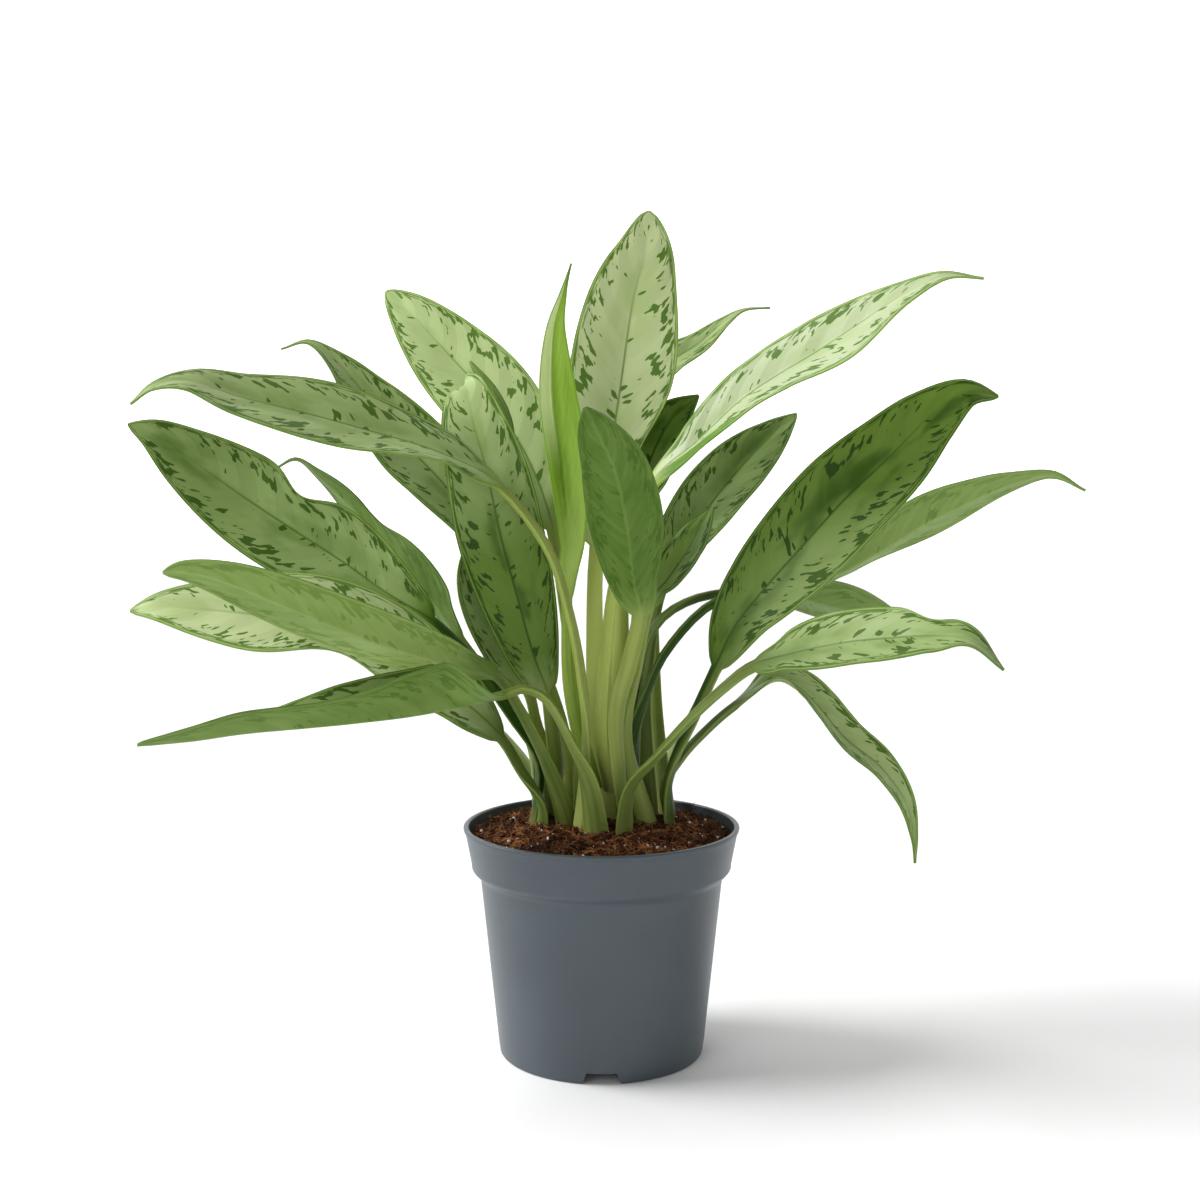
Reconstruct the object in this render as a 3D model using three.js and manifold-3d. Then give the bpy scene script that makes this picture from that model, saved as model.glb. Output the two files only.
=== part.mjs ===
// Potted chinese evergreen: a leafy plant on three short shoots in a plain plastic nursery pot.
// Millimetres, +Z up. The origin is on the ground, under the middle of the pot.
// The front of the plant faces -Y.
import * as THREE from 'three';
import { mergeVertices } from 'three/addons/utils/BufferGeometryUtils.js';
import Module from 'manifold-3d';

const wasm = await Module();
wasm.setup();

// ---- driving dimensions -------------------------------------------------------------------

const GAP = 0.3;

// The pot from its rim down: a lip, a straight band, a sloping shoulder and a tapered body.
const POT = {
  height: 100,
  rimRadius: 60,
  lipHeight: 2,
  lipOverhang: 0.8,
  rounding: 0.5,
  bandBottom: 82.5,
  bandRadius: 56.5,
  shoulderBottom: 77,
  shoulderSteps: 3,
  bodyTopRadius: 52.6,
  baseRadius: 44.6,
  baseRounding: 1.5,
  wall: 1.5,
  footHeight: 5,
  footWidth: 3,
  floorThickness: 2,
  sides: 48,
};

// The notches in the foot: the first is at the front.
const NOTCH = { count: 4, bottomWidth: 17, topWidth: 12.6, height: 4.9, depth: 12, outside: 4, below: 1 };

const DRAIN_HOLE = { count: 4, radius: 3, distance: 30, sides: 12 };

const SOIL = { edgeHeight: 95.5, crownHeight: 98.5, clearance: 0.6, rings: 8 };

// The unevenness of the soil: two crossing waves and a slanting one.
const LUMPS = {
  height: 0.8,
  xRate: 0.31,
  xStart: 1.1,
  yRate: 0.27,
  yStart: -0.6,
  slant: [0.63, -0.41],
  slantShare: 0.5,
};

// A shoot swells a little above its foot and narrows to its neck.
const SHOOT = { bottom: 90, foot: 0.8, widestAt: 0.35, neck: 0.93, rounding: 1, sides: 14 };

const STALK = { bottomHalf: 4.6, topHalf: 2.8, bottomRib: 2.2, topRib: 2.2, stations: 6, sunkShare: 0.7 };

// The blade opens over the first part of its length. Its midrib stands out below more than above,
// and thins out to the tip.
const BLADE = {
  edgeHalf: 0.36,
  tipHalf: 0.6,
  opening: 1 / 6,
  upperRib: 0.5,
  ribSharpness: 3,
  ribFade: 0.4,
  waveSkew: 1.3,
  stations: 13,
};

// What a leaf has where its own line says nothing else.
const PLAIN = {
  peak: 0.82,
  taper: 0.85,
  point: 0.1,
  bays: [],
  stalk: 1,
  roll: 0.1,
  wave: 0.8,
  waves: 2,
  toward: [0, -1, 0],
  colour: 0x9cb87a,
};

const FINISH = {
  pot: { color: 0x5a666e, roughness: 0.5 },
  soil: { color: 0x5a3a26, roughness: 0.95 },
  shoot: { color: 0x8fa552, roughness: 0.5 },
  leafRoughness: 0.4,
};

// ---- the plant's plan -----------------------------------------------------------------------

// The short stems that the stalks sheathe: where each stands, its radius and its top.
const shoots = {
  shoot_centre: { x: 1.5, y: 0.5, radius: 7, top: 112.6 },
  shoot_left: { x: -20, y: 17, radius: 5.5, top: 112.6 },
  shoot_right: { x: 22, y: 18, radius: 4.5, top: 106 },
};

// Each leaf: its half width, the fold of its two halves at the blade's base and tip in degrees,
// how far its margins roll under, the height of its waves, the point where the blade starts, and
// the points of its spine as x, y, z and turn. A turn of 0 has the upper face looking at the
// front, and a turn of 90 has it looking up on a leaf that leans left. A bay is a place along the
// blade, one of its two sides, how much the margin swells out there, and its length.
const leaves = {
  leaf_top: {
    half: 24.5, fold: [20, 6], start: 3, peak: 0.95, taper: 0.65, stalk: 1.2, point: 0,
    bays: [[0.25, 1, -0.4, 0.15]],
    points: [
      [2, 13, 88, -5], [-2, 14, 150, 0], [-3, 17, 190, 0], [-2, 20, 220, 0], [2, 26, 249, 0],
      [8, 36, 287, 0], [14, 48, 328, 0], [20, 58, 353, 3], [22, 66, 372, 5],
    ],
  },
  leaf_front: {
    half: 15.5, fold: [22, 8], start: 3, peak: 0.9, taper: 0.75, stalk: 1.2, roll: 0.15,
    points: [
      [11.5, 0, 88, 260], [6, -9, 145, 220], [12, -13, 173, 180], [16, -18, 193, 180],
      [13, -32, 209, 180], [10, -54, 232, 180], [5, -74, 254, 178], [-2, -89, 269, 176],
      [-6, -104, 277, 175],
    ],
  },
  leaf_young: {
    half: 13.5, fold: [40, 50], start: 3, peak: 0.95, point: 0.9, roll: 0, wave: 0, colour: 0x9ec43c,
    points: [
      [-3, 2, 114, 40], [-8, 1, 133, 40], [-14, 0, 163, 40], [-15, 0, 198, 40], [-16, -1, 228, 35],
      [-19, -2, 258, 30], [-22, -3, 285, 25], [-21, -2, 311, 20], [-17, 0, 327, 15], [-13, 4, 341, 10],
    ],
  },
  leaf_back_left: {
    half: 22, fold: [20, 8], start: 3, peak: 0.95, taper: 0.7, point: 0,
    points: [
      [-9, 11, 88, 40], [-9, 16, 138, 35], [-14, 22, 178, 30], [-22, 30, 227, 20], [-33, 46, 257, 18],
      [-50, 62, 283, 16], [-72, 78, 307, 14], [-90, 90, 326, 12], [-104, 100, 339, 10],
    ],
  },
  leaf_inner_left: {
    half: 19, fold: [30, 12], start: 3, colour: 0x7fae3c,
    points: [
      [-20, 29, 88, 0], [-23, 24, 117, 25], [-29, 22, 140, 45], [-33, 20, 156, 40], [-45, 16, 178, 30],
      [-50, 14, 208, 30], [-44, 15, 240, 70], [-44, 18, 267, 110], [-49, 22, 286, 122],
      [-58, 26, 301, 125],
    ],
  },
  leaf_left_upright: {
    half: 19, fold: [16, 4], start: 3, peak: 0.95, taper: 0.6,
    points: [
      [-20, 16, 114, 60], [-20, 14, 123, 45], [-22, 8, 142, 35], [-24, 4, 157, 22], [-30, -1, 176, 16],
      [-36, -4, 199, 12], [-43, -6, 226, 10], [-49, -5, 254, 8], [-55, -1, 275, 5], [-58, 10, 289, 0],
      [-60, 24, 291, 0],
    ],
  },
  leaf_arch_left: {
    half: 21, fold: [24, 8], start: 5, peak: 0.95, taper: 0.7, stalk: 1.2, point: 0.6,
    points: [
      [-11, -3, 88, 110], [-6, -9, 136, 95], [-8, -13, 165, 75], [-13, -16, 193, 75],
      [-22, -18, 221, 75], [-42, -21, 247, 72], [-68, -24, 261, 62], [-97, -28, 270, 55],
      [-122, -33, 277, 55], [-146, -38, 283, 58], [-164, -43, 289, 60], [-178, -46, 287, 60],
      [-187, -48, 280, 60],
    ],
  },
  leaf_mid_left: {
    half: 24, fold: [20, 10], start: 4, peak: 0.95, taper: 0.7, bays: [[0.5, 1, -0.36, 0.08]],
    points: [
      [-31, 15, 88, 100], [-27, 14, 123, 75], [-39, 10, 146, 50], [-57, 13, 170, 40],
      [-75, 15, 187, 32], [-96, 23, 199, 28], [-116, 31, 212, 26], [-142, 37, 228, 25],
      [-164, 42, 242, 25], [-187, 45, 258, 25], [-203, 47, 269, 28], [-216, 49, 274, 30],
    ],
  },
  leaf_under_left: {
    half: 17, fold: [22, 10], start: 4, peak: 0.95, taper: 0.65, point: 0, colour: 0x5d8a3a,
    points: [
      [-17, 6, 88, 210], [-16, 3, 103, 175], [-24, -2, 128, 140], [-35, -6, 151, 138],
      [-45, -9, 166, 138], [-64, -16, 172, 140], [-84, -24, 179, 142], [-106, -31, 188, 143],
      [-128, -37, 198, 143], [-150, -42, 208, 142], [-166, -45, 213, 140], [-176, -47, 213, 138],
    ],
  },
  leaf_low_left: {
    half: 22, fold: [20, 10], start: 3, peak: 0.95, taper: 0.7, bays: [[0.46, -1, -0.5, 0.14]],
    points: [
      [-28, 7, 88, 145], [-25.5, 4.5, 107, 105], [-35, 6, 122, 60], [-44, 4, 137, 50], [-60, 3, 153, 38],
      [-87, -2, 174, 32], [-121, -4, 188, 30], [-151, -4, 192, 30], [-172, -3, 194, 30],
      [-190, -2, 195, 32], [-203, 0, 193, 35],
    ],
  },
  leaf_folded_left: {
    half: 21, fold: [75, 10], start: 5, peak: 0.55, taper: 0.65, point: 0, stalk: 1.25, roll: 0, wave: 0.4,
    bays: [[0.5, -1, -0.25, 0.2]],
    points: [
      [-1, -11, 88, 170], [-5, -16.5, 120, 140], [-12, -18, 138, 105], [-22, -21, 157, 100],
      [-32, -24, 163, 96], [-42, -29, 161, 95], [-73, -44, 156, 95], [-97, -54, 154, 95],
      [-117, -62, 153, 100], [-139, -70, 152, 108], [-159, -77, 150, 114], [-178, -82, 149, 115],
    ],
  },
  leaf_curl_left: {
    half: 20, fold: [22, 14], start: 3, point: 0.9,
    points: [
      [-10.5, 22.5, 88, -50], [-17.5, 30.5, 132, -5], [-28, 32, 168, 40], [-40, 37, 201, 36],
      [-55, 44, 226, 36], [-74, 52, 248, 36], [-90, 60, 264, 36], [-109, 68, 286, 38],
      [-123, 74, 302, 45], [-138, 79, 313, 60], [-152, 82, 310, 70],
    ],
  },
  leaf_green_left: {
    half: 16, fold: [20, 10], start: 3, peak: 0.8, point: 1, colour: 0x5d8a3a,
    bays: [[0.55, -1, -0.5, 0.15]],
    points: [
      [-28, 24, 88, 50], [-31, 24, 130, 85], [-48, 28, 157, 120], [-63, 32, 177, 125],
      [-74, 40, 191, 130], [-88, 48, 206, 132], [-101, 56, 219, 132], [-116, 64, 235, 130],
      [-133, 71, 250, 118], [-144, 73, 258, 110], [-155, 74, 253, 100],
    ],
  },
  leaf_arch_right: {
    half: 18, fold: [28, 10], start: 4, peak: 1, stalk: 1.2, point: 0.8, bays: [[0.62, 1, 0.3, 0.1]],
    points: [
      [4, 1, 113.8, -60], [0, 1, 139, -60], [2, 3, 176, -60], [7, 5, 210, -58], [22, 8, 247, -54],
      [42, 8, 266, -56], [60, 6, 283, -56], [76, 4, 294, -54], [91, 1, 303, -52], [109, -3, 315, -54],
      [127, -7, 327, -58], [143, -10, 334, -54], [159, -12, 333, -58],
    ],
  },
  leaf_tip_back: {
    half: 11, fold: [24, 12], start: 3, point: 0.9,
    points: [
      [13, 27, 88, 45], [9, 32, 147, 10], [9, 42, 199, -30], [7, 52, 258, -35], [14, 64, 285, -40],
      [31, 76, 302, -45], [47, 86, 313, -50], [60, 94, 324, -60], [70, 99, 330, -70],
      [82, 103, 331, -70],
    ],
  },
  leaf_dark_back: {
    half: 14, fold: [24, 12], start: 3, colour: 0x5d8a3a,
    points: [
      [31, 28, 88, -40], [25, 41, 141, -40], [23, 50, 194, -40], [18, 53, 232, -30], [21, 56, 252, -20],
      [27, 62, 267, -20], [35, 70, 279, -20], [46, 78, 288, -20],
    ],
  },
  leaf_mid_right: {
    half: 18, fold: [30, 14], start: 3, peak: 0.9, taper: 0.75,
    points: [
      [22, 29, 88, 0], [19, 30, 141, -20], [22, 33, 172, -45], [27, 38, 198, -40], [37, 48, 217, -36],
      [52, 62, 238, -34], [68, 76, 256, -34], [84, 90, 271, -36], [95, 100, 280, -40],
    ],
  },
  leaf_small_right: {
    half: 11, fold: [34, 16], start: 3,
    points: [
      [23, 7, 88, -175], [11, 5, 136, -115], [16, 5, 171, -58], [21, 6, 195, -50], [29, 7, 206, -45],
      [37, 10, 217, -42], [43, 14, 227, -42], [49, 18, 237, -45],
    ],
  },
  leaf_big_right: {
    half: 22.5, fold: [22, 8], start: 3, peak: 0.92, taper: 0.75, point: 0,
    points: [
      [31, 10, 88, -130], [29, 8, 118, -90], [40, 6, 145, -50], [50, 4, 168, -38], [58, 3, 186, -30],
      [72, 3, 204, -26], [87, 3, 221, -25], [105, 4, 241, -25], [124, 5, 259, -26], [140, 6, 275, -30],
      [156, 7, 286, -38], [171, 8, 285, -45],
    ],
  },
  leaf_far_right: {
    half: 18, fold: [22, 10], start: 5, peak: 0.9, point: 1, colour: 0x5d8a3a,
    bays: [[0.3, -1, -0.3, 0.12]],
    points: [
      [14, 10.5, 88, -220], [13, 15, 127, -160], [19, 20, 153, -105], [30, 24, 175, -110],
      [52, 31, 195, -118], [86, 40, 201, -125], [106, 42, 206, -128], [127, 42, 217, -130],
      [145, 41, 228, -130], [162, 38, 237, -128], [181, 35, 246, -125], [201, 32, 251, -120],
      [216, 30, 244, -115],
    ],
  },
  leaf_back_right: {
    half: 16, fold: [22, 10], start: 5, colour: 0x5d8a3a,
    points: [
      [12, 18, 88, 90], [9, 21, 126, 10], [14, 22, 153, -70], [22, 23, 182, -80], [40, 34, 195, -105],
      [68, 48, 198, -120], [91, 62, 194, -130], [114, 76, 187, -130], [136, 90, 179, -130],
      [160, 103, 170, -125],
    ],
  },
  leaf_front_right: {
    half: 15, fold: [26, 12], start: 5, peak: 0.9, taper: 0.75, stalk: 1.2, bays: [[0.7, -1, -0.35, 0.08]],
    points: [
      [9.5, -9, 88, -140], [11.5, -13, 117, -120], [23, -17, 133, -100], [37, -22, 150, -85],
      [52, -28, 165, -70], [63, -36, 174, -58], [80, -48, 181, -50], [96, -60, 186, -48],
      [112, -71, 189, -50], [127, -82, 191, -55], [139, -90, 190, -62], [150, -96, 180, -70],
    ],
  },
  leaf_droop_right: {
    half: 12, fold: [34, 18], start: 4, point: 0.6,
    points: [
      [33, 20.5, 88, -80], [27.5, 17, 111, -80], [35, 17, 126, -80], [47, 18, 139, -82], [59, 20, 149, -84],
      [77, 24, 160, -75], [89, 28, 155, -62], [99, 31, 145, -55], [111, 34, 131, -50],
      [127, 37, 118, -48], [139, 39, 102, -40], [144, 40, 85, -30], [145, 41, 72, -25],
    ],
  },
  leaf_rear: {
    half: 17, fold: [22, 8], start: 2, peak: 0.9, toward: [0, -1, 1],
    points: [
      [2, 24, 88, 0], [6, 41, 150, 0], [11, 58, 205, 0], [11, 76, 252, 0], [9, 92, 290, 0],
      [6, 104, 322, 0],
    ],
  },
  leaf_rear_left: {
    half: 17, fold: [22, 8], start: 4, peak: 0.9, toward: [0, -1, 1],
    points: [
      [-22, 36, 88, 30], [-33, 49, 112, 30], [-45, 61, 126, 30], [-62, 70, 141, 30], [-77, 76, 160, 35],
      [-105, 87, 184, 40], [-124, 94, 200, 40], [-140, 98, 211, 40],
    ],
  },
  leaf_rear_right: {
    half: 17, fold: [22, 8], start: 3, peak: 0.9, toward: [0, -1, 1],
    points: [
      [25, 37, 88, -20], [30, 46, 112, -20], [44, 64, 138, -25], [57, 78, 160, -30], [80, 89, 197, -35],
      [104, 91, 225, -35], [119, 93, 240, -35], [139, 96, 257, -35],
    ],
  },
};

// ---- small helpers --------------------------------------------------------------------------

const degrees = (angle) => angle * Math.PI / 180;
const mix = (a, b, t) => a + (b - a) * t;

function smooth(t) {
  const x = Math.min(1, Math.max(0, t));
  return x * x * (3 - 2 * x);
}

function solid(geometry) {
  const bare = geometry.clone();
  bare.deleteAttribute('normal');
  bare.deleteAttribute('uv');
  const merged = mergeVertices(bare, 1e-4);
  return new wasm.Manifold(new wasm.Mesh({
    numProp: 3,
    vertProperties: new Float32Array(merged.attributes.position.array),
    triVerts: new Uint32Array(merged.index.array),
  }));
}

function geometryOf(manifold) {
  const mesh = manifold.getMesh();
  const geometry = new THREE.BufferGeometry();
  geometry.setAttribute('position', new THREE.BufferAttribute(mesh.vertProperties, 3));
  geometry.setIndex(new THREE.BufferAttribute(mesh.triVerts, 1));
  geometry.computeVertexNormals();
  return geometry;
}

function geometryFrom(positions, triangles) {
  const geometry = new THREE.BufferGeometry();
  geometry.setAttribute('position', new THREE.Float32BufferAttribute(positions.flat(), 3));
  geometry.setIndex(triangles.flat());
  geometry.computeVertexNormals();
  return geometry;
}

function meshOf(name, geometry, finish) {
  const material = new THREE.MeshStandardMaterial({ ...finish, metalness: 0 });
  const mesh = new THREE.Mesh(geometry, material);
  mesh.name = name;
  return mesh;
}

// Turns a lathe, whose axis is Y, upright.
function lathe(profile, sides) {
  const geometry = new THREE.LatheGeometry(profile.map(([r, z]) => new THREE.Vector2(r, z)), sides);
  geometry.rotateX(Math.PI / 2);
  return geometry;
}

// ---- pot ------------------------------------------------------------------------------------

const floorTop = POT.footHeight + POT.floorThickness;
const lipBottom = POT.height - POT.lipHeight;
const lipRadius = POT.rimRadius - POT.lipOverhang;

function bodyRadius(z) {
  return mix(POT.baseRadius, POT.bodyTopRadius, z / POT.shoulderBottom);
}

function bandRadiusAt(z) {
  return mix(POT.bandRadius, lipRadius, (z - POT.bandBottom) / (lipBottom - POT.bandBottom));
}

// The shoulder curves out of the body and into the band.
function shoulderPoint(t) {
  return [mix(POT.bodyTopRadius, POT.bandRadius, smooth(t)), mix(POT.shoulderBottom, POT.bandBottom, t)];
}

function potProfile() {
  const { height, rimRadius, rounding, baseRadius, baseRounding, footHeight, footWidth, wall } = POT;
  const outside = [
    [baseRadius - baseRounding, 0],
    [baseRadius - baseRounding / 4, baseRounding / 4],
    [baseRadius, baseRounding],
  ];
  for (let i = 0; i <= POT.shoulderSteps; i += 1) {
    outside.push(shoulderPoint(i / POT.shoulderSteps));
  }
  outside.push(
    [lipRadius, lipBottom],
    [rimRadius, lipBottom + rounding],
    [rimRadius, height - rounding],
    [rimRadius - rounding, height],
  );
  const inside = [
    [lipRadius - wall, height],
    [lipRadius - wall, lipBottom],
    [POT.bandRadius - wall, POT.bandBottom],
    [POT.bodyTopRadius - wall, POT.shoulderBottom],
    [bodyRadius(floorTop) - wall, floorTop],
    [0, floorTop],
    [0, footHeight],
    [baseRadius - footWidth, footHeight],
    [baseRadius - footWidth, 0],
  ];
  return [...outside, ...inside, outside[0]];
}

function notchCutter(angle) {
  const shape = new THREE.Shape([
    new THREE.Vector2(-NOTCH.bottomWidth / 2, -NOTCH.below),
    new THREE.Vector2(NOTCH.bottomWidth / 2, -NOTCH.below),
    new THREE.Vector2(NOTCH.topWidth / 2, NOTCH.height),
    new THREE.Vector2(-NOTCH.topWidth / 2, NOTCH.height),
  ]);
  const cutter = new THREE.ExtrudeGeometry(shape, { depth: NOTCH.depth, bevelEnabled: false });
  cutter.rotateX(Math.PI / 2);
  cutter.translate(0, NOTCH.depth - POT.baseRadius - NOTCH.outside, 0);
  cutter.rotateZ(angle);
  return cutter;
}

function drainCutter(angle) {
  const { radius, sides } = DRAIN_HOLE;
  const cutter = new THREE.CylinderGeometry(radius, radius, 3 * POT.floorThickness, sides);
  cutter.rotateX(Math.PI / 2);
  cutter.translate(DRAIN_HOLE.distance, 0, POT.footHeight + POT.floorThickness / 2);
  cutter.rotateZ(angle);
  return cutter;
}

function makePot() {
  let body = solid(lathe(potProfile(), POT.sides));
  for (let i = 0; i < NOTCH.count; i += 1) {
    body = body.subtract(solid(notchCutter(2 * Math.PI * i / NOTCH.count)));
  }
  for (let i = 0; i < DRAIN_HOLE.count; i += 1) {
    body = body.subtract(solid(drainCutter(2 * Math.PI * (i + 0.5) / DRAIN_HOLE.count)));
  }
  return meshOf('pot', geometryOf(body), FINISH.pot);
}

// ---- leaves ---------------------------------------------------------------------------------

// The curve through a leaf's points: each stretch is a cubic that leaves a point in the direction
// from the one before it to the one after it.
function spineAt(points, u) {
  const last = points.length - 1;
  const i = Math.min(last - 1, Math.floor(u));
  const t = u - i;
  const p1 = points[i];
  const p2 = points[i + 1];
  const p0 = points[i - 1] ?? p1.map((value, k) => 2 * value - p2[k]);
  const p3 = points[i + 2] ?? p2.map((value, k) => 2 * value - p1[k]);
  return p1.map((value, k) => {
    const a = 2 * value;
    const b = p2[k] - p0[k];
    const c = 2 * p0[k] - 5 * value + 4 * p2[k] - p3[k];
    const d = 3 * value - p0[k] - 3 * p2[k] + p3[k];
    return 0.5 * (a + b * t + c * t * t + d * t * t * t);
  });
}

// The places between two points of the spine that cut it into equal lengths.
function evenPlaces(points, from, to, count) {
  const steps = 120;
  const lengths = [0];
  let previous = spineAt(points, from);
  for (let i = 1; i <= steps; i += 1) {
    const here = spineAt(points, mix(from, to, i / steps));
    const step = Math.hypot(here[0] - previous[0], here[1] - previous[1], here[2] - previous[2]);
    lengths.push(lengths[i - 1] + step);
    previous = here;
  }
  const places = [];
  for (let i = 0; i <= count; i += 1) {
    const wanted = lengths[steps] * i / count;
    const after = Math.max(1, lengths.findIndex((length) => length >= wanted - 1e-9));
    const part = (wanted - lengths[after - 1]) / (lengths[after] - lengths[after - 1]);
    places.push(mix(from, to, (after - 1 + part) / steps));
  }
  return places;
}

// The outline of a blade: 0 at its base and tip, 1 where it is widest. A higher peak moves the
// widest place to the tip, a lower taper makes the ends rounder, and the point draws out the tip.
function outline(leaf, s) {
  return Math.max(0, Math.sin(Math.PI * Math.min(1, s) ** leaf.peak)) ** (leaf.taper + leaf.point * s);
}

// The share of the half width that the bays leave on one side of the midrib.
function bayShare(leaf, s, v) {
  let share = 1;
  for (const [place, side, amount, length] of leaf.bays) {
    share += Math.max(0, v * side) * amount * Math.exp(-(((s - place) / length) ** 2));
  }
  return share;
}

function frameAt(points, u, toward) {
  const small = 0.02;
  const last = points.length - 1;
  const here = spineAt(points, u);
  const before = new THREE.Vector3(...spineAt(points, Math.max(0, u - small)).slice(0, 3));
  const after = new THREE.Vector3(...spineAt(points, Math.min(last, u + small)).slice(0, 3));
  const along = after.sub(before).normalize();
  const front = new THREE.Vector3(...toward);
  front.addScaledVector(along, -front.dot(along)).normalize();
  const side = new THREE.Vector3().crossVectors(along, front);
  const turn = degrees(here[3]);
  const face = front.multiplyScalar(Math.cos(turn)).addScaledVector(side, Math.sin(turn));
  const across = new THREE.Vector3().crossVectors(along, face);
  return { centre: new THREE.Vector3(here[0], here[1], here[2]), face, across };
}

const ACROSS = [-1, -0.5, 0, 0.5, 1];

// One ring of a leaf: the points of its upper face from left to right, then those of its lower
// face from right to left. t runs along the stalk, s along the blade.
function leafRing(leaf, u, t, s, swell) {
  const { centre, face, across } = frameAt(leaf.points, u, leaf.toward);
  const stalkHalf = leaf.stalk * mix(STALK.bottomHalf, STALK.topHalf, smooth(t))
    * mix(1, BLADE.tipHalf / STALK.topHalf, s);
  const fullHalf = stalkHalf + (leaf.half - stalkHalf) * outline(leaf, s) + swell;
  const rib = s > 0 ? mix(STALK.topRib, 0, s ** BLADE.ribFade) : mix(STALK.bottomRib, STALK.topRib, t);
  const edge = BLADE.edgeHalf + swell;
  const opened = smooth(s / BLADE.opening);
  const fold = degrees(mix(leaf.fold[0], leaf.fold[1], s)) * opened;
  const ring = [];
  const place = (v, side) => {
    const half = fullHalf * bayShare(leaf, s, v);
    const round = Math.cos(Math.abs(v) * Math.PI / 2) ** mix(1, BLADE.ribSharpness, opened);
    const thickness = edge + rib * round * (side > 0 ? BLADE.upperRib : 1);
    const phase = 2 * Math.PI * leaf.waves * s + BLADE.waveSkew * v;
    const wave = leaf.wave * Math.sin(phase) * v * v * (1 - s);
    const lift = opened * (half * (Math.abs(v) * Math.sin(fold) - leaf.roll * v * v) + wave);
    const point = centre.clone();
    point.addScaledVector(across, half * v * Math.cos(fold));
    point.addScaledVector(face, lift + side * thickness);
    return point.toArray();
  };
  for (const v of ACROSS) {
    ring.push(place(v, 1));
  }
  for (const v of [...ACROSS].reverse()) {
    ring.push(place(v, -1));
  }
  return ring;
}

// Joins the rings into one closed body, with the same triangles on both faces of the blade.
function loft(rings) {
  const n = rings[0].length;
  const triangles = [];
  for (let i = 0; i + 1 < rings.length; i += 1) {
    for (let j = 0; j < n; j += 1) {
      const k = (j + 1) % n;
      const [a, b, c, d] = [i * n + j, i * n + k, (i + 1) * n + k, (i + 1) * n + j];
      const upper = j < n / 2 - 1;
      triangles.push(...(upper ? [[a, b, c], [a, c, d]] : [[a, b, d], [b, c, d]]));
    }
  }
  const last = (rings.length - 1) * n;
  const half = n / 2;
  for (let j = 0; j + 1 < half; j += 1) {
    const [a, b, c, d] = [j, j + 1, n - 2 - j, n - 1 - j];
    triangles.push([a, c, b], [a, d, c]);
    triangles.push([last + a, last + b, last + c], [last + a, last + c, last + d]);
  }
  return geometryFrom(rings.flat(), triangles);
}

// A leaf with its stalk. Only the lowest stretch is made for the hole that it stands in.
function leafGeometry(leaf, swell = 0, stretch = 1) {
  const rings = [];
  for (const [i, u] of evenPlaces(leaf.points, 0, leaf.start, STALK.stations).entries()) {
    const t = i / STALK.stations;
    if (t <= stretch) {
      rings.push(leafRing(leaf, u, t, 0, swell));
    }
  }
  if (stretch >= 1) {
    const last = leaf.points.length - 1;
    for (const [i, u] of evenPlaces(leaf.points, leaf.start, last, BLADE.stations).entries()) {
      if (i > 0) {
        rings.push(leafRing(leaf, u, 1, i / BLADE.stations, swell));
      }
    }
  }
  return loft(rings);
}

function makeLeaves() {
  return Object.entries(leaves).map(([name, values]) => {
    const leaf = { ...PLAIN, ...values };
    return meshOf(name, leafGeometry(leaf), { color: leaf.colour, roughness: FINISH.leafRoughness });
  });
}

// ---- shoots ---------------------------------------------------------------------------------

function shootGeometry(shoot, swell = 0) {
  const { bottom, foot, widestAt, neck, rounding, sides } = SHOOT;
  const geometry = lathe([
    [0, bottom - swell],
    [shoot.radius * foot + swell, bottom - swell],
    [shoot.radius + swell, mix(bottom, shoot.top, widestAt)],
    [shoot.radius * neck + swell, shoot.top - rounding],
    [shoot.radius * neck - rounding + swell, shoot.top + swell],
    [0, shoot.top + swell],
  ], sides);
  geometry.translate(shoot.x, shoot.y, 0);
  return geometry;
}

function makeShoots() {
  return Object.entries(shoots).map(([name, shoot]) => meshOf(name, shootGeometry(shoot), FINISH.shoot));
}

// ---- soil -----------------------------------------------------------------------------------

function soilHeight(x, y) {
  const out = Math.hypot(x, y) / POT.bodyTopRadius;
  const crossing = Math.sin(LUMPS.xRate * x + LUMPS.xStart) * Math.sin(LUMPS.yRate * y + LUMPS.yStart);
  const slanting = LUMPS.slantShare * Math.sin(LUMPS.slant[0] * x + LUMPS.slant[1] * y);
  const level = mix(SOIL.crownHeight, SOIL.edgeHeight, Math.min(1, out * out));
  return level + LUMPS.height * (crossing + slanting);
}

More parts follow.
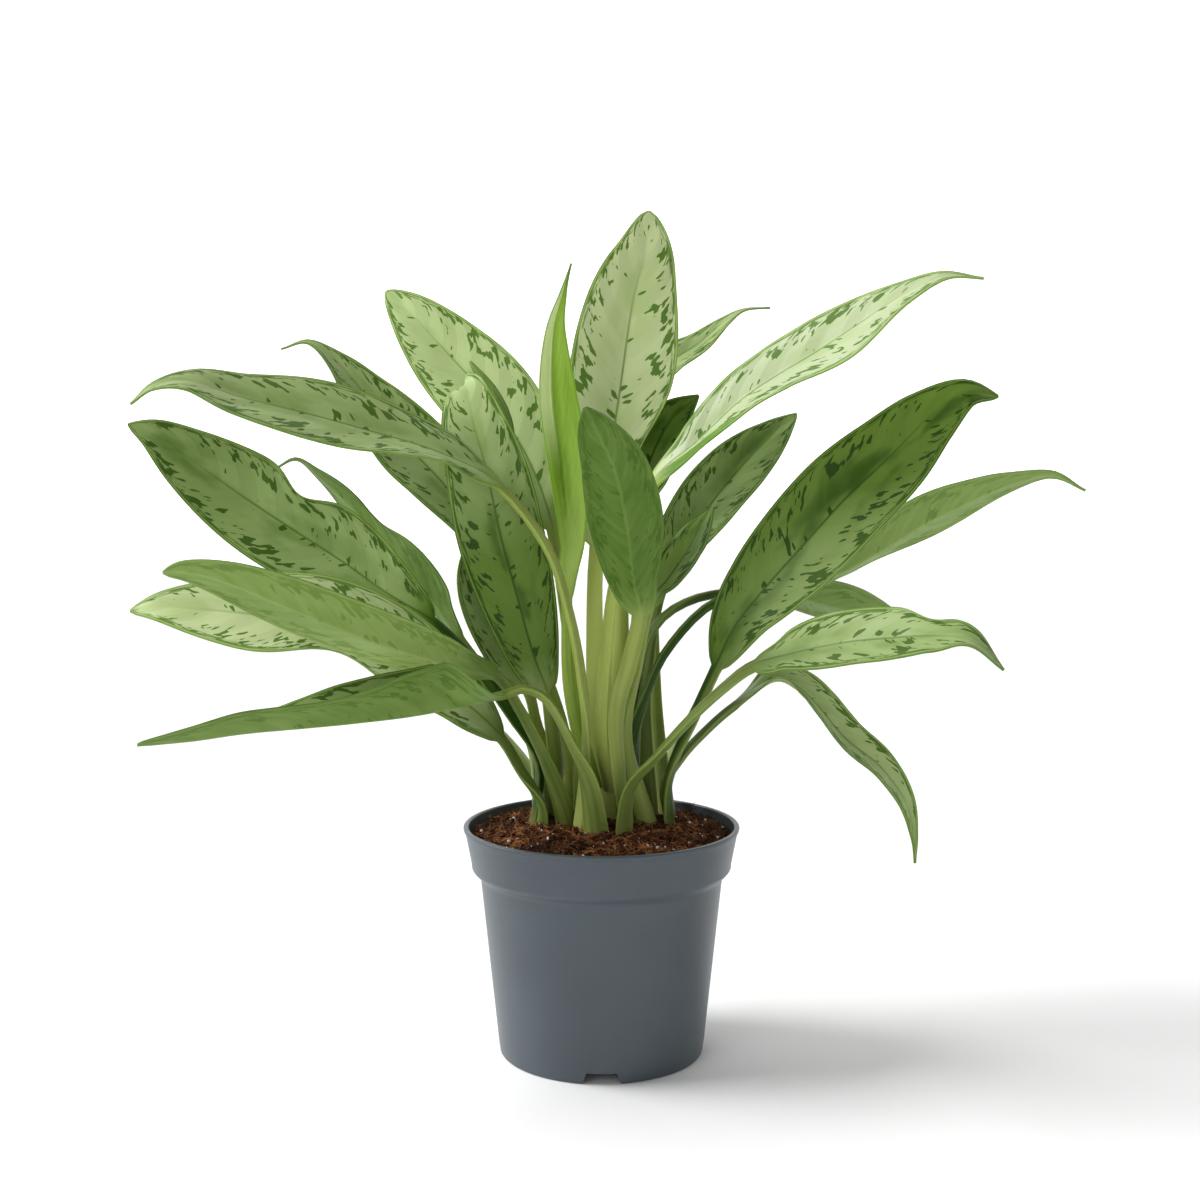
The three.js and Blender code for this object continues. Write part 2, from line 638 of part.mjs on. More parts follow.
// The soil fills the pot: a floor, a side that follows the wall, and an uneven top.
function makeSoil() {
  const inset = POT.wall + SOIL.clearance;
  const side = [
    [bodyRadius(floorTop) - inset, floorTop + GAP],
    [POT.bodyTopRadius - inset, POT.shoulderBottom],
    [POT.bandRadius - inset, POT.bandBottom + GAP],
  ];
  const topRadius = bandRadiusAt(SOIL.edgeHeight) - inset;
  const positions = [[0, 0, floorTop + GAP]];
  const n = POT.sides;
  const addRing = (radiusAt, heightAt) => {
    for (let i = 0; i < n; i += 1) {
      const angle = 2 * Math.PI * i / n;
      const x = radiusAt * Math.cos(angle);
      const y = radiusAt * Math.sin(angle);
      positions.push([x, y, heightAt(x, y)]);
    }
  };
  for (const [radius, z] of side) {
    addRing(radius, () => z);
  }
  for (let i = 0; i < SOIL.rings; i += 1) {
    addRing(topRadius * (1 - i / SOIL.rings), soilHeight);
  }
  positions.push([0, 0, soilHeight(0, 0)]);
  const ringCount = side.length + SOIL.rings;
  const triangles = [];
  for (let j = 0; j < n; j += 1) {
    const k = (j + 1) % n;
    triangles.push([0, 1 + k, 1 + j]);
    for (let i = 0; i + 1 < ringCount; i += 1) {
      const [a, b, c, d] = [1 + i * n + j, 1 + i * n + k, 1 + (i + 1) * n + k, 1 + (i + 1) * n + j];
      triangles.push([a, b, c], [a, c, d]);
    }
    const last = 1 + (ringCount - 1) * n;
    triangles.push([last + j, last + k, positions.length - 1]);
  }
  let body = solid(geometryFrom(positions, triangles));
  for (const shoot of Object.values(shoots)) {
    body = body.subtract(solid(shootGeometry(shoot, GAP)));
  }
  for (const values of Object.values(leaves)) {
    const leaf = { ...PLAIN, ...values };
    if (leaf.points[0][2] < SOIL.edgeHeight) {
      body = body.subtract(solid(leafGeometry(leaf, GAP, STALK.sunkShare)));
    }
  }
  return meshOf('soil', geometryOf(body), FINISH.soil);
}

// ---- the part -------------------------------------------------------------------------------

const part = new THREE.Group();
part.add(makePot());
part.add(makeSoil());
part.add(...makeShoots());
part.add(...makeLeaves());

export default part;
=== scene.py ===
import math
import random

import bpy
import numpy as np
from mathutils import Euler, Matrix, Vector, noise


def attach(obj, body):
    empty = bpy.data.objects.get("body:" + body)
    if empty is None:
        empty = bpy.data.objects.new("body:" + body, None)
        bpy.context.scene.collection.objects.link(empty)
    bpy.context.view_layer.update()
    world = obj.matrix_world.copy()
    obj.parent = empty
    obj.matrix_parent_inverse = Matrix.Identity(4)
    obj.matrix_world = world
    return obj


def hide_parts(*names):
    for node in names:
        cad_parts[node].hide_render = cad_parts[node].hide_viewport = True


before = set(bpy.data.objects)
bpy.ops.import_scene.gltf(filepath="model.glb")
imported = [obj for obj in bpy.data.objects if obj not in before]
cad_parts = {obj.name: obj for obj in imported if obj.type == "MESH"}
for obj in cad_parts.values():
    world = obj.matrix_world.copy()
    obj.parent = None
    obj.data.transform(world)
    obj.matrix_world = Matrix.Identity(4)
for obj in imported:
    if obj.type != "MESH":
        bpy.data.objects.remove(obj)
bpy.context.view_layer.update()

# Lengths are given in millimetres, as in the part's source, and times MM they are Blender's metres.
MM = 0.001


# ---- shader maths ----

def colour(red, green, blue):
    """A screen colour, 0 to 255, as the linear one that a shader takes."""
    def linear(value):
        value /= 255
        return value / 12.92 if value <= 0.04045 else ((value + 0.055) / 1.055) ** 2.4
    return (linear(red), linear(green), linear(blue), 1)


class Field:
    """A value that changes over a surface. A sum or product of fields adds its Math nodes."""

    def __init__(self, finish, socket):
        self.finish = finish
        self.socket = socket

    def math(self, operation, *values):
        return self.finish.node("ShaderNodeMath", {"operation": operation}, *values)

    def __add__(self, other):
        return self.math("ADD", self, other)

    def __sub__(self, other):
        return self.math("SUBTRACT", self, other)

    def __rsub__(self, other):
        return self.math("SUBTRACT", other, self)

    def __mul__(self, other):
        return self.math("MULTIPLY", self, other)

    def __truediv__(self, other):
        return self.math("DIVIDE", self, other)

    def __pow__(self, other):
        return self.math("POWER", self, other)

    def __abs__(self):
        return self.math("ABSOLUTE", self)

    __radd__ = __add__
    __rmul__ = __mul__

    def sign(self):
        return self.math("SIGN", self)

    def most(self, other):
        return self.math("MAXIMUM", self, other)

    def ripple(self, period):
        """0 on a line and 1 halfway to the next, with lines a period apart."""
        return self.math("PINGPONG", self, period / 2) * (2 / period)

    def rise(self, low, high):
        """0 below low, 1 above high, and smooth between. It falls where high is the lower one."""
        return self.finish.node("ShaderNodeMapRange", {"interpolation_type": "SMOOTHSTEP", "clamp": True},
                                self, low, high)


class Finish:
    """A material and the nodes that paint it. Words after the name are the shader's own settings."""

    def __init__(self, name, **shader):
        self.material = bpy.data.materials.new(name)
        self.material.use_nodes = True
        self.tree = self.material.node_tree
        self.shader = self.tree.nodes["Principled BSDF"]
        for setting, value in shader.items():
            self.shader.inputs[setting.replace("_", " ")].default_value = value

    def node(self, kind, settings, *values, out=0, **named):
        """Adds a node and feeds its inputs, in order or by name. _6 stands for input number 6."""
        node = self.tree.nodes.new(kind)
        for setting, value in settings.items():
            setattr(node, setting, value)
        for key, value in [*enumerate(values), *named.items()]:
            if isinstance(key, str):
                key = int(key[1:]) if key[0] == "_" else key.replace("_", " ")
            self.feed(node.inputs[key], value)
        return Field(self, node.outputs[out])

    def feed(self, socket, value):
        if isinstance(value, Field):
            self.tree.links.new(value.socket, socket)
        else:
            socket.default_value = value

    def blend(self, first, second, share):
        """Mixes two colours, each a field or the red, green and blue of a screen colour."""
        first, second = (part if isinstance(part, Field) else colour(*part) for part in (first, second))
        return self.node("ShaderNodeMix", {"data_type": "RGBA"}, _0=share, _6=first, _7=second, out=2)

    def parts(self, vector):
        split = self.node("ShaderNodeSeparateXYZ", {}, vector)
        return [Field(self, socket) for socket in split.socket.node.outputs]

    def attribute(self, name, out="Vector"):
        return self.node("ShaderNodeAttribute", {"attribute_name": name}, out=out)

    def place(self):
        return self.node("ShaderNodeTexCoord", {}, out="Object")

    def clouds(self, place, scale=1.0, detail=2.0, roughness=0.5):
        """Soft noise at a place, which is a field or its x, y and z."""
        if isinstance(place, tuple):
            place = self.node("ShaderNodeCombineXYZ", {}, *place)
        return self.node("ShaderNodeTexNoise", {}, Vector=place, Scale=scale, Detail=detail,
                         Roughness=roughness)

    def paint(self, base, roughness=None, height=None, strength=0.3, distance=0.0005):
        self.feed(self.shader.inputs["Base Color"], base)
        if roughness is not None:
            self.feed(self.shader.inputs["Roughness"], roughness)
        if height is not None:
            bump = self.node("ShaderNodeBump", {}, Strength=strength, Distance=distance, Height=height)
            self.feed(self.shader.inputs["Normal"], bump)
        return self.material


# ---- finishes ----

# Side veins, in millimetres: how far they slant towards the tip, and how far apart they lie.
VEIN_SLANT = 17
VEIN_GAP = 21.0
UNDER_VEIN_GAP = 13.0
YOUNG_VEIN_SLANT = 26
YOUNG_VEIN_GAP = 9.0

# How far apart in the noise a leaf's two halves lie, so that they aren't alike.
HALVES_APART = 41.0


def side_veins(y, reach, slant):
    """The same value all along a side vein, which leaves the midrib and turns along the margin."""
    return y - slant * (reach + reach ** 3)


def leaf_finish(name, silver, green, spots=1.0, rolled=False):
    """The upper face of a leaf: silver green with plain green zones, and dark streaks that follow
    its side veins and crowd inside its margins. Its lower face is a flatter green, with fainter
    streaks. On a rolled leaf, one margin turns up near the stalk and is bright green. The tone is
    how deep the leaf's colour is at a place: partly the leaf's own green and partly painted shade,
    deeper where the leaf lies in shade."""
    finish = Finish(name, Roughness=0.42, Specular_IOR_Level=0.16)
    v, s, side = finish.parts(finish.attribute("blade"))
    x, y, edge = finish.parts(finish.attribute("spot"))
    tone = finish.attribute("tone", "Fac")
    half = v.sign() * HALVES_APART
    upper = side.rise(-0.02, 0.02)
    on_blade = s.rise(-0.01, 0.12)
    reach = abs(v)
    vein = side_veins(y, reach, VEIN_SLANT)
    lines = vein.ripple(VEIN_GAP)
    cloudy = finish.clouds((x / 12, y / 34, 19.0))
    veined = finish.clouds((vein / 5 + half, reach * 1.4, 23.0)) - 0.5

    def toned(pale, deep):
        return finish.blend(pale, deep, tone)

    # Streaks in clusters: crowded in a band inside the margins, some by the midrib, few between.
    cluster = finish.clouds((x / 7 + half, y / 13, 7.0), detail=1.0) - 0.5
    streak_noise = finish.clouds((vein / 4.4 + half, y / 7.2, 1.0), 1.0, 1.5, 0.55)
    band = reach.rise(0.38, 0.60) * reach.rise(0.98, 0.84)
    by_rib = reach.rise(0.24, 0.05) * s.rise(0.8, 0.4)
    limit = 0.68 + 0.03 * tone - (0.15 * band + 0.07 * by_rib) * spots
    marks = (streak_noise + 0.6 * cluster - limit).rise(0.0, 0.02)
    dashes = finish.clouds((y / 11, edge / 1.1 + half, 11.0), 1.0, 1.5, 0.6)
    rim_marks = (dashes - 0.47).rise(0.0, 0.04) * edge.rise(1.0, 1.3) * edge.rise(3.3, 2.3)
    marks = marks.most(rim_marks * reach.rise(0.5, 0.7) * 0.85) * on_blade

    # Ground: silver, with soft facets between the veins and zones of plain green.
    zone = reach.rise(0.85, 0.1) * cloudy.rise(0.44, 0.62)
    greenness = zone * (0.25 + 0.6 * tone) + lines * 0.05 + (cloudy - 0.5) * 0.25 + veined * 0.45
    ground = finish.blend(toned(silver, (94, 121, 44)), toned(green, (46, 77, 2)), greenness)
    dark = finish.blend((80, 122, 16), (32, 60, 2), tone * 0.85 + cloudy * 0.2 + 0.1)
    ground = finish.blend(ground, dark, marks * 0.92)
    ground = finish.blend(ground, toned((100, 138, 34), (50, 82, 8)), edge.rise(1.7, 1.2) * 0.8)
    bright_line = edge.rise(0.45, 0.65) * edge.rise(1.15, 0.9)
    ground = finish.blend(ground, toned((182, 206, 118), (132, 162, 66)), bright_line * 0.6)
    midrib = abs(x).rise(0.75, 0.25) * s.rise(0.95, 0.5)
    ground = finish.blend(ground, toned((110, 142, 62), (38, 68, 4)), midrib * 0.8)

    # The lower face and the stalk.
    under_vein = vein.ripple(UNDER_VEIN_GAP)
    mottled = tone + (cloudy - 0.5) * 0.4 + veined * 0.4 - under_vein * 0.03
    under = finish.blend((144, 168, 92), (70, 102, 28), mottled)
    under = finish.blend(under, toned((92, 126, 30), (42, 72, 4)), marks * 0.5)
    under = finish.blend(under, (164, 186, 112), abs(x).rise(0.9, 0.4) * (0.3 - 0.22 * tone))
    streak = finish.clouds((x / 1.8, y / 70, side), detail=1.0)
    streaked = tone + (streak - 0.5) * 0.3 + (cloudy - 0.5) * 0.3
    stalk = finish.blend((188, 202, 108), (40, 70, 8), streaked)
    stalk = finish.blend(stalk, (152, 180, 84), reach.rise(0.88, 1.0) * 0.35)
    stalk = finish.blend(stalk, (166, 160, 98), s.rise(-0.82, -1.0) * 0.75)

    skin = finish.blend(under, ground, upper)
    if rolled:
        turned_up = (v - 3 * s + 0.15).rise(0.0, 0.16) * s.rise(0.34, 0.2) * upper
        skin = finish.blend(skin, finish.blend((104, 146, 36), (76, 118, 22), cloudy), turned_up)
    skin = finish.blend(stalk, skin, s.rise(-0.04, 0.07))
    relief = lines * 0.8 * upper + under_vein * 0.4 * (1 - upper)
    relief = relief * on_blade + 0.06 * finish.clouds((x, y, side), 1.2, 3.0)
    gloss = 0.36 + 0.14 * cloudy + 0.06 * marks + 0.08 * (1 - upper)
    return finish.paint(skin, gloss, relief, 0.5, 0.0008)


def young_leaf_finish():
    """The rolled young leaf: bright green with fine veins, and a pale inside where it opens that is partly
    brightened as painted light, a painted shade line along its fold, and painted light towards its foot.
    """
    finish = Finish("young leaf", Roughness=0.4, Specular_IOR_Level=0.25)
    v, s, side = finish.parts(finish.attribute("blade"))
    x, y, edge = finish.parts(finish.attribute("spot"))
    reach = abs(v)
    lines = side_veins(y, reach, YOUNG_VEIN_SLANT).ripple(YOUNG_VEIN_GAP)
    cloudy = finish.clouds((x / 6, y / 40, 3.0))
    outside = finish.blend((112, 148, 40), (140, 174, 62), cloudy.rise(0.35, 0.65))
    outside = finish.blend(outside, (98, 138, 32), lines.rise(0.3, 0.0) * 0.2)
    wrapped = finish.blend((130, 168, 44), (156, 192, 72), cloudy.rise(0.35, 0.65) + lines * 0.15)
    # Painted light: the wrapped part turns lighter towards its foot, where it lies in shade.
    wrapped = finish.blend(wrapped, (186, 210, 116), s.rise(0.4, 0.05) * 0.6)
    # The pale inside where it opens is the leaf's own pale colour, raised brighter as painted light for the
    # light that shines through it.
    open_part = v.rise(0.16, 0.06) * s.rise(0.36, 0.6)
    inside = finish.blend(wrapped, (236, 250, 184), open_part * (0.75 + 0.3 * cloudy))
    # Painted shade: a darker line along the fold where the leaf opens.
    fold_shade = v.rise(0.02, 0.08) * v.rise(0.18, 0.12) * s.rise(0.2, 0.3)
    inside = finish.blend(inside, (88, 132, 12), fold_shade * 0.6)
    skin = finish.blend(outside, inside, side.rise(-0.02, 0.02))
    skin = finish.blend(skin, (100, 150, 16), edge.rise(1.3, 0.5) * 0.7)
    streak = finish.clouds((x / 1.8, y / 60, side), detail=1.0)
    stalk = finish.blend((128, 158, 50), (160, 184, 84), streak.rise(0.35, 0.65))
    skin = finish.blend(stalk, skin, s.rise(-0.1, 0.1))
    return finish.paint(skin, 0.38 + 0.1 * cloudy, lines * 0.4 + streak * 0.2, 0.4, 0.0006)


def shoot_finish():
    """The short stems: pale green sheaths with lengthwise fibres, and tan patches by the soil."""
    finish = Finish("shoot", Roughness=0.5, Specular_IOR_Level=0.3)
    x, y, z = finish.parts(finish.place())
    fibres = finish.clouds((x * 900, y * 900, z * 45))
    patches = finish.clouds(finish.place(), 160.0)
    base = finish.blend((158, 168, 84), (190, 194, 116), fibres.rise(0.35, 0.65))
    base = finish.blend(base, (132, 104, 58), z.rise(0.104, 0.098) * patches.rise(0.3, 0.6))
    return finish.paint(base, 0.45 + 0.2 * patches, fibres, 0.35, 0.0006)


def pot_finish():
    """Blue-grey moulded plastic: an even, slightly satin skin with a faint grain and scuffs."""
    finish = Finish("pot plastic", Roughness=0.4, Specular_IOR_Level=0.5)
    place = finish.place()
    x, y, z = finish.parts(place)
    broad = finish.clouds(place, 26.0, 3.0)
    grain = finish.clouds(place, 1800.0)
    scuffs = finish.clouds((x * 160, y * 160, z * 900), 1.0, 3.0, 0.6).rise(0.64, 0.72)
    base = finish.blend((64, 72, 79), (68, 77, 84), broad.rise(0.35, 0.65))
    base = finish.blend(base, (122, 132, 138), scuffs * 0.05)
    base = finish.blend(base, (80, 88, 92), grain.rise(0.55, 0.75) * 0.2)
    gloss = 0.35 + 0.1 * broad + 0.05 * scuffs
    return finish.paint(base, gloss, grain * 0.6 + broad * 0.2, 0.12, 0.0003)


def soil_finish(name, dark, light, fineness=1.0):
    """Coir: dark red-brown, with paler fibres and damp hollows."""
    finish = Finish(name, Roughness=0.92, Specular_IOR_Level=0.2)
    place = finish.place()
    broad = finish.clouds(place, 110.0 * fineness, 3.0, 0.6)
    fine = finish.clouds(place, 700.0 * fineness, 4.0, 0.65)
    crumbs = finish.node("ShaderNodeTexVoronoi", {}, Vector=place, Scale=420.0 * fineness)
    base = finish.blend(dark, light, fine.rise(0.42, 0.62))
    base = finish.blend(base, (22, 12, 8), broad.rise(0.55, 0.36) * 0.8)
    return finish.paint(base, 0.85 + 0.12 * fine, fine * 0.7 + crumbs * 0.6, 0.7, 0.0012)


def perlite_finish():
    finish = Finish("perlite", Roughness=0.85, Specular_IOR_Level=0.3)
    pores = finish.clouds(finish.place(), 1500.0, 3.0, 0.7)
    base = finish.blend((196, 190, 180), (240, 238, 232), pores.rise(0.35, 0.6))
    return finish.paint(base, 0.8 + 0.1 * pores, pores, 0.5, 0.0005)


LEAF = leaf_finish("leaf", (180, 198, 138), (142, 170, 88))
# The pale leaf's silver is partly its own paler colour and partly painted light, raised for the top leaf that
# faces away from the window light.
LEAF_PALE = leaf_finish("pale leaf", (194, 208, 154), (158, 184, 96), 0.85)
LEAF_ROLLED = leaf_finish("rolled leaf", (184, 196, 156), (160, 180, 118), 0.85, rolled=True)
YOUNG_LEAF = young_leaf_finish()
SHOOT = shoot_finish()
POT = pot_finish()
SOIL = soil_finish("coir", (34, 17, 9), (112, 66, 36))
FIBRE = soil_finish("coir fibre", (78, 38, 18), (176, 120, 74), 0.3)
PERLITE = perlite_finish()


# ---- building ----

# The width of a rolled sheet's seam that is welded, in metres.
SEAM = 1e-7


def clear_choice():
    bpy.ops.object.select_all(action="DESELECT")
    bpy.context.view_layer.objects.active = None


def choose(piece):
    clear_choice()
    piece.select_set(True)
    bpy.context.view_layer.objects.active = piece


def new_piece(name, material):
    """Names the shape that was just added, and gives it its material."""
    piece = bpy.context.object
    piece.name = piece.data.name = name
    piece.data.materials.clear()
    piece.data.materials.append(material)
    return piece


def edit(piece, mode="VERT"):
    choose(piece)
    bpy.ops.object.mode_set(mode="EDIT")
    bpy.ops.mesh.select_mode(type=mode)


def pick_parts(piece, mode, wanted):
    """Goes into edit mode with only the wanted vertices or edges selected."""
    edit(piece, mode)
    bpy.ops.mesh.select_all(action="DESELECT")
    bpy.ops.object.mode_set(mode="OBJECT")
    for part in piece.data.vertices if mode == "VERT" else piece.data.edges:
        part.select = wanted(part)
    bpy.ops.object.mode_set(mode="EDIT")


def settle(piece):
    """Leaves edit mode, and puts the piece's place, turn and scale into its mesh."""
    if bpy.context.mode != "OBJECT":
        bpy.ops.object.mode_set(mode="OBJECT")
    choose(piece)
    bpy.ops.object.transform_apply(location=True, rotation=True, scale=True)
    clear_choice()
    return piece


def smooth_faces(piece, angle):
    choose(piece)
    bpy.ops.object.shade_smooth_by_angle(angle=math.radians(angle))
    clear_choice()


def weld(piece, distance, open_ends=False):
    """Joins points that lie within a distance, closes open ends and turns all faces outwards."""
    edit(piece)
    bpy.ops.mesh.select_all(action="SELECT")
    bpy.ops.mesh.remove_doubles(threshold=distance)
    if open_ends:
        bpy.ops.mesh.select_all(action="DESELECT")
        bpy.ops.mesh.select_non_manifold()
        bpy.ops.mesh.fill_holes(sides=0)
        bpy.ops.mesh.select_all(action="SELECT")
    bpy.ops.mesh.normals_make_consistent(inside=False)
    bpy.ops.object.mode_set(mode="OBJECT")


def rolled_grid(name, material, around, rows):
    """A sheet to be rolled up into a closed skin, and the column and row of each of its points.
    Its first and last column are one."""
    clear_choice()
    bpy.ops.mesh.primitive_grid_add(x_subdivisions=around, y_subdivisions=rows, size=1, location=(0, 0, 0))
    sheet = new_piece(name, material)
    flat = np.array([v.co[:] for v in sheet.data.vertices])
    column = np.rint((flat[:, 0] + 0.5) * around).astype(int) % around
    row = np.rint((flat[:, 1] + 0.5) * rows).astype(int)
    return sheet, column, row


def add_attribute(piece, name, values):
    """Gives each point of a piece a number or a vector, for its material."""
    kind = "FLOAT" if values.ndim == 1 else "FLOAT_VECTOR"
    attribute = piece.data.attributes.new(name, kind, "POINT")
    attribute.data.foreach_set("value" if kind == "FLOAT" else "vector", values.ravel().astype(np.float32))


def mount(piece, slot, *nodes):
    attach(piece, "root")
    if nodes:
        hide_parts(*nodes)


def mix(a, b, t):
    return a + (b - a) * t


def smooth(t):
    x = min(1.0, max(0.0, t))
    return x * x * (3 - 2 * x)


# ---- camera and light ----

# The photo's camera, fitted to the pot: its focal length is in pixels, and it looks down a little.
PHOTO_WIDTH = 1200
FOCAL_PIXELS = 1632
SENSOR = 36
CAMERA_PLACE = (-0.64 * MM, -700 * MM, 260 * MM)
CAMERA_DOWN = 5.08

# The studio, in metres: how wide it is, how far off its walls stand, and how high the low ones are.
STUDIO = 12
BACK_WALL = 3
LOW_WALL = 6
LOW_WALL_HEIGHT = 2.6


def make_camera():
    data = bpy.data.cameras.new("camera")
    data.sensor_width = SENSOR
    data.lens = SENSOR * FOCAL_PIXELS / PHOTO_WIDTH
    data.clip_start = 0.01
    camera = bpy.data.objects.new("camera", data)
    camera.location = CAMERA_PLACE
    camera.rotation_euler = (math.radians(90 - CAMERA_DOWN), 0, 0)
    bpy.context.scene.collection.objects.link(camera)
    bpy.context.scene.camera = camera


def add_light(name, kind, direction, power, place=(0, 0, 0), **settings):
    data = bpy.data.lights.new(name, kind)
    data.energy = power
    for setting, value in settings.items():
        setattr(data, setting, value)
    light = bpy.data.objects.new(name, data)
    light.location = place
    light.rotation_euler = Vector(direction).to_track_quat("-Z", "Y").to_euler()
    bpy.context.scene.collection.objects.link(light)


def studio_finish(name, shades, **shader):
    """A plain grey that drifts between two close shades."""
    finish = Finish(name, Roughness=0.9, **shader)
    drift = finish.clouds(finish.place(), 3.0)
    return finish.paint(finish.blend((shades[0],) * 3, (shades[1],) * 3, drift))


def add_plane(name, material, width, height, place, turn=(0, 0, 0)):
    clear_choice()
    bpy.ops.mesh.primitive_plane_add(size=1, location=place, rotation=turn)
    plane = new_piece(name, material)
    plane.scale = (width, height, 1)
    settle(plane)


def make_studio():
    """A pale floor, a lit white wall behind it and low ones on its other sides, soft light from the
    left, and a pale surround."""
    white = (1, 1, 1, 1)
    upright = math.radians(90)
    finish = studio_finish("studio floor", (245, 243), Specular_IOR_Level=0.1)
    add_plane("studio_floor", finish, STUDIO, STUDIO, (0, 0, 0))
    finish = studio_finish("studio wall", (240, 236), Emission_Color=white, Emission_Strength=0.75)
    add_plane("studio_wall", finish, STUDIO, STUDIO, (0, BACK_WALL, STUDIO / 2), (upright, 0, 0))
    finish = studio_finish("studio low wall", (124, 120), Emission_Color=white, Emission_Strength=0.62)
    for number, degrees in enumerate((90, 180, 270)):
        angle = math.radians(degrees)
        place = (-LOW_WALL * math.sin(angle), LOW_WALL * math.cos(angle), LOW_WALL_HEIGHT / 2)
        add_plane(f"studio_low_wall_{number}", finish, STUDIO, LOW_WALL_HEIGHT, place, (upright, 0, angle))
    world = bpy.data.worlds.new("surround")
    world.use_nodes = True
    background = world.node_tree.nodes["Background"]
    background.inputs["Color"].default_value = white
    background.inputs["Strength"].default_value = 0.17
    bpy.context.scene.world = world
    bpy.context.scene.view_settings.view_transform = "Standard"
    add_light("window", "SUN", (1, -0.08, -0.85), 3.7, angle=math.radians(34))
    add_light("front fill", "AREA", (1.1, 1.6, -0.8), 7.5, (-1.1, -1.6, 1.0), shape="DISK", size=1.2)


make_camera()
make_studio()


# ---- leaves ----

# A stalk's half width and midrib at its bottom and top, and a blade's half thickness and half width
# at its tip. It opens over the first share of its length, and its midrib sinks above as it does.
STALK_BOTTOM = 4.6
STALK_TOP = 2.8
STALK_BOTTOM_RIB = 2.2
STALK_TOP_RIB = 2.2
BLADE_EDGE = 0.36
BLADE_TIP = 0.6
OPENING = 1 / 6
UPPER_RIB = 0.5
UPPER_RIB_SINK = 0.9
RIB_SHARPNESS = 3
RIB_FADE = 0.4
WAVE_SKEW = 1.3

# The fine ripple of a margin, and where along the blade its colour turns to that of the tip.
RIPPLE = 0.35
RIPPLE_RATE = 9
RIPPLES_APART = 3.7
TIP_COLOUR_FROM = 0.3
TIP_COLOUR_OVER = 0.5

# How far along the noise one leaf's pattern starts from the next one's.
LEAVES_APART = 400

ACROSS = 21
STALK_ROWS = 22
BLADE_ROWS = 66

# What a leaf has where its own line says nothing else. A higher peak moves the widest place to the
# tip, a lower taper makes the ends rounder, and the point draws out the tip. dark is how deep its
# colour is, partly its own green and partly painted shade for a leaf that lies in shade. stalk_dark
# and tip_dark say it for stalk and tip, also with painted shade where they lie in shade, and the
# lean of the tone darkens one half and lightens the other as painted light and shade.
PLAIN = dict(
    start=3, peak=0.82, taper=0.85, point=0.1, bays=[], stalk=1.0, roll=0.1, wave=0.8, waves=2,
    toward=(0, -1, 0), finish=LEAF, dark=0.25, lean=0, slot="leaf",
)

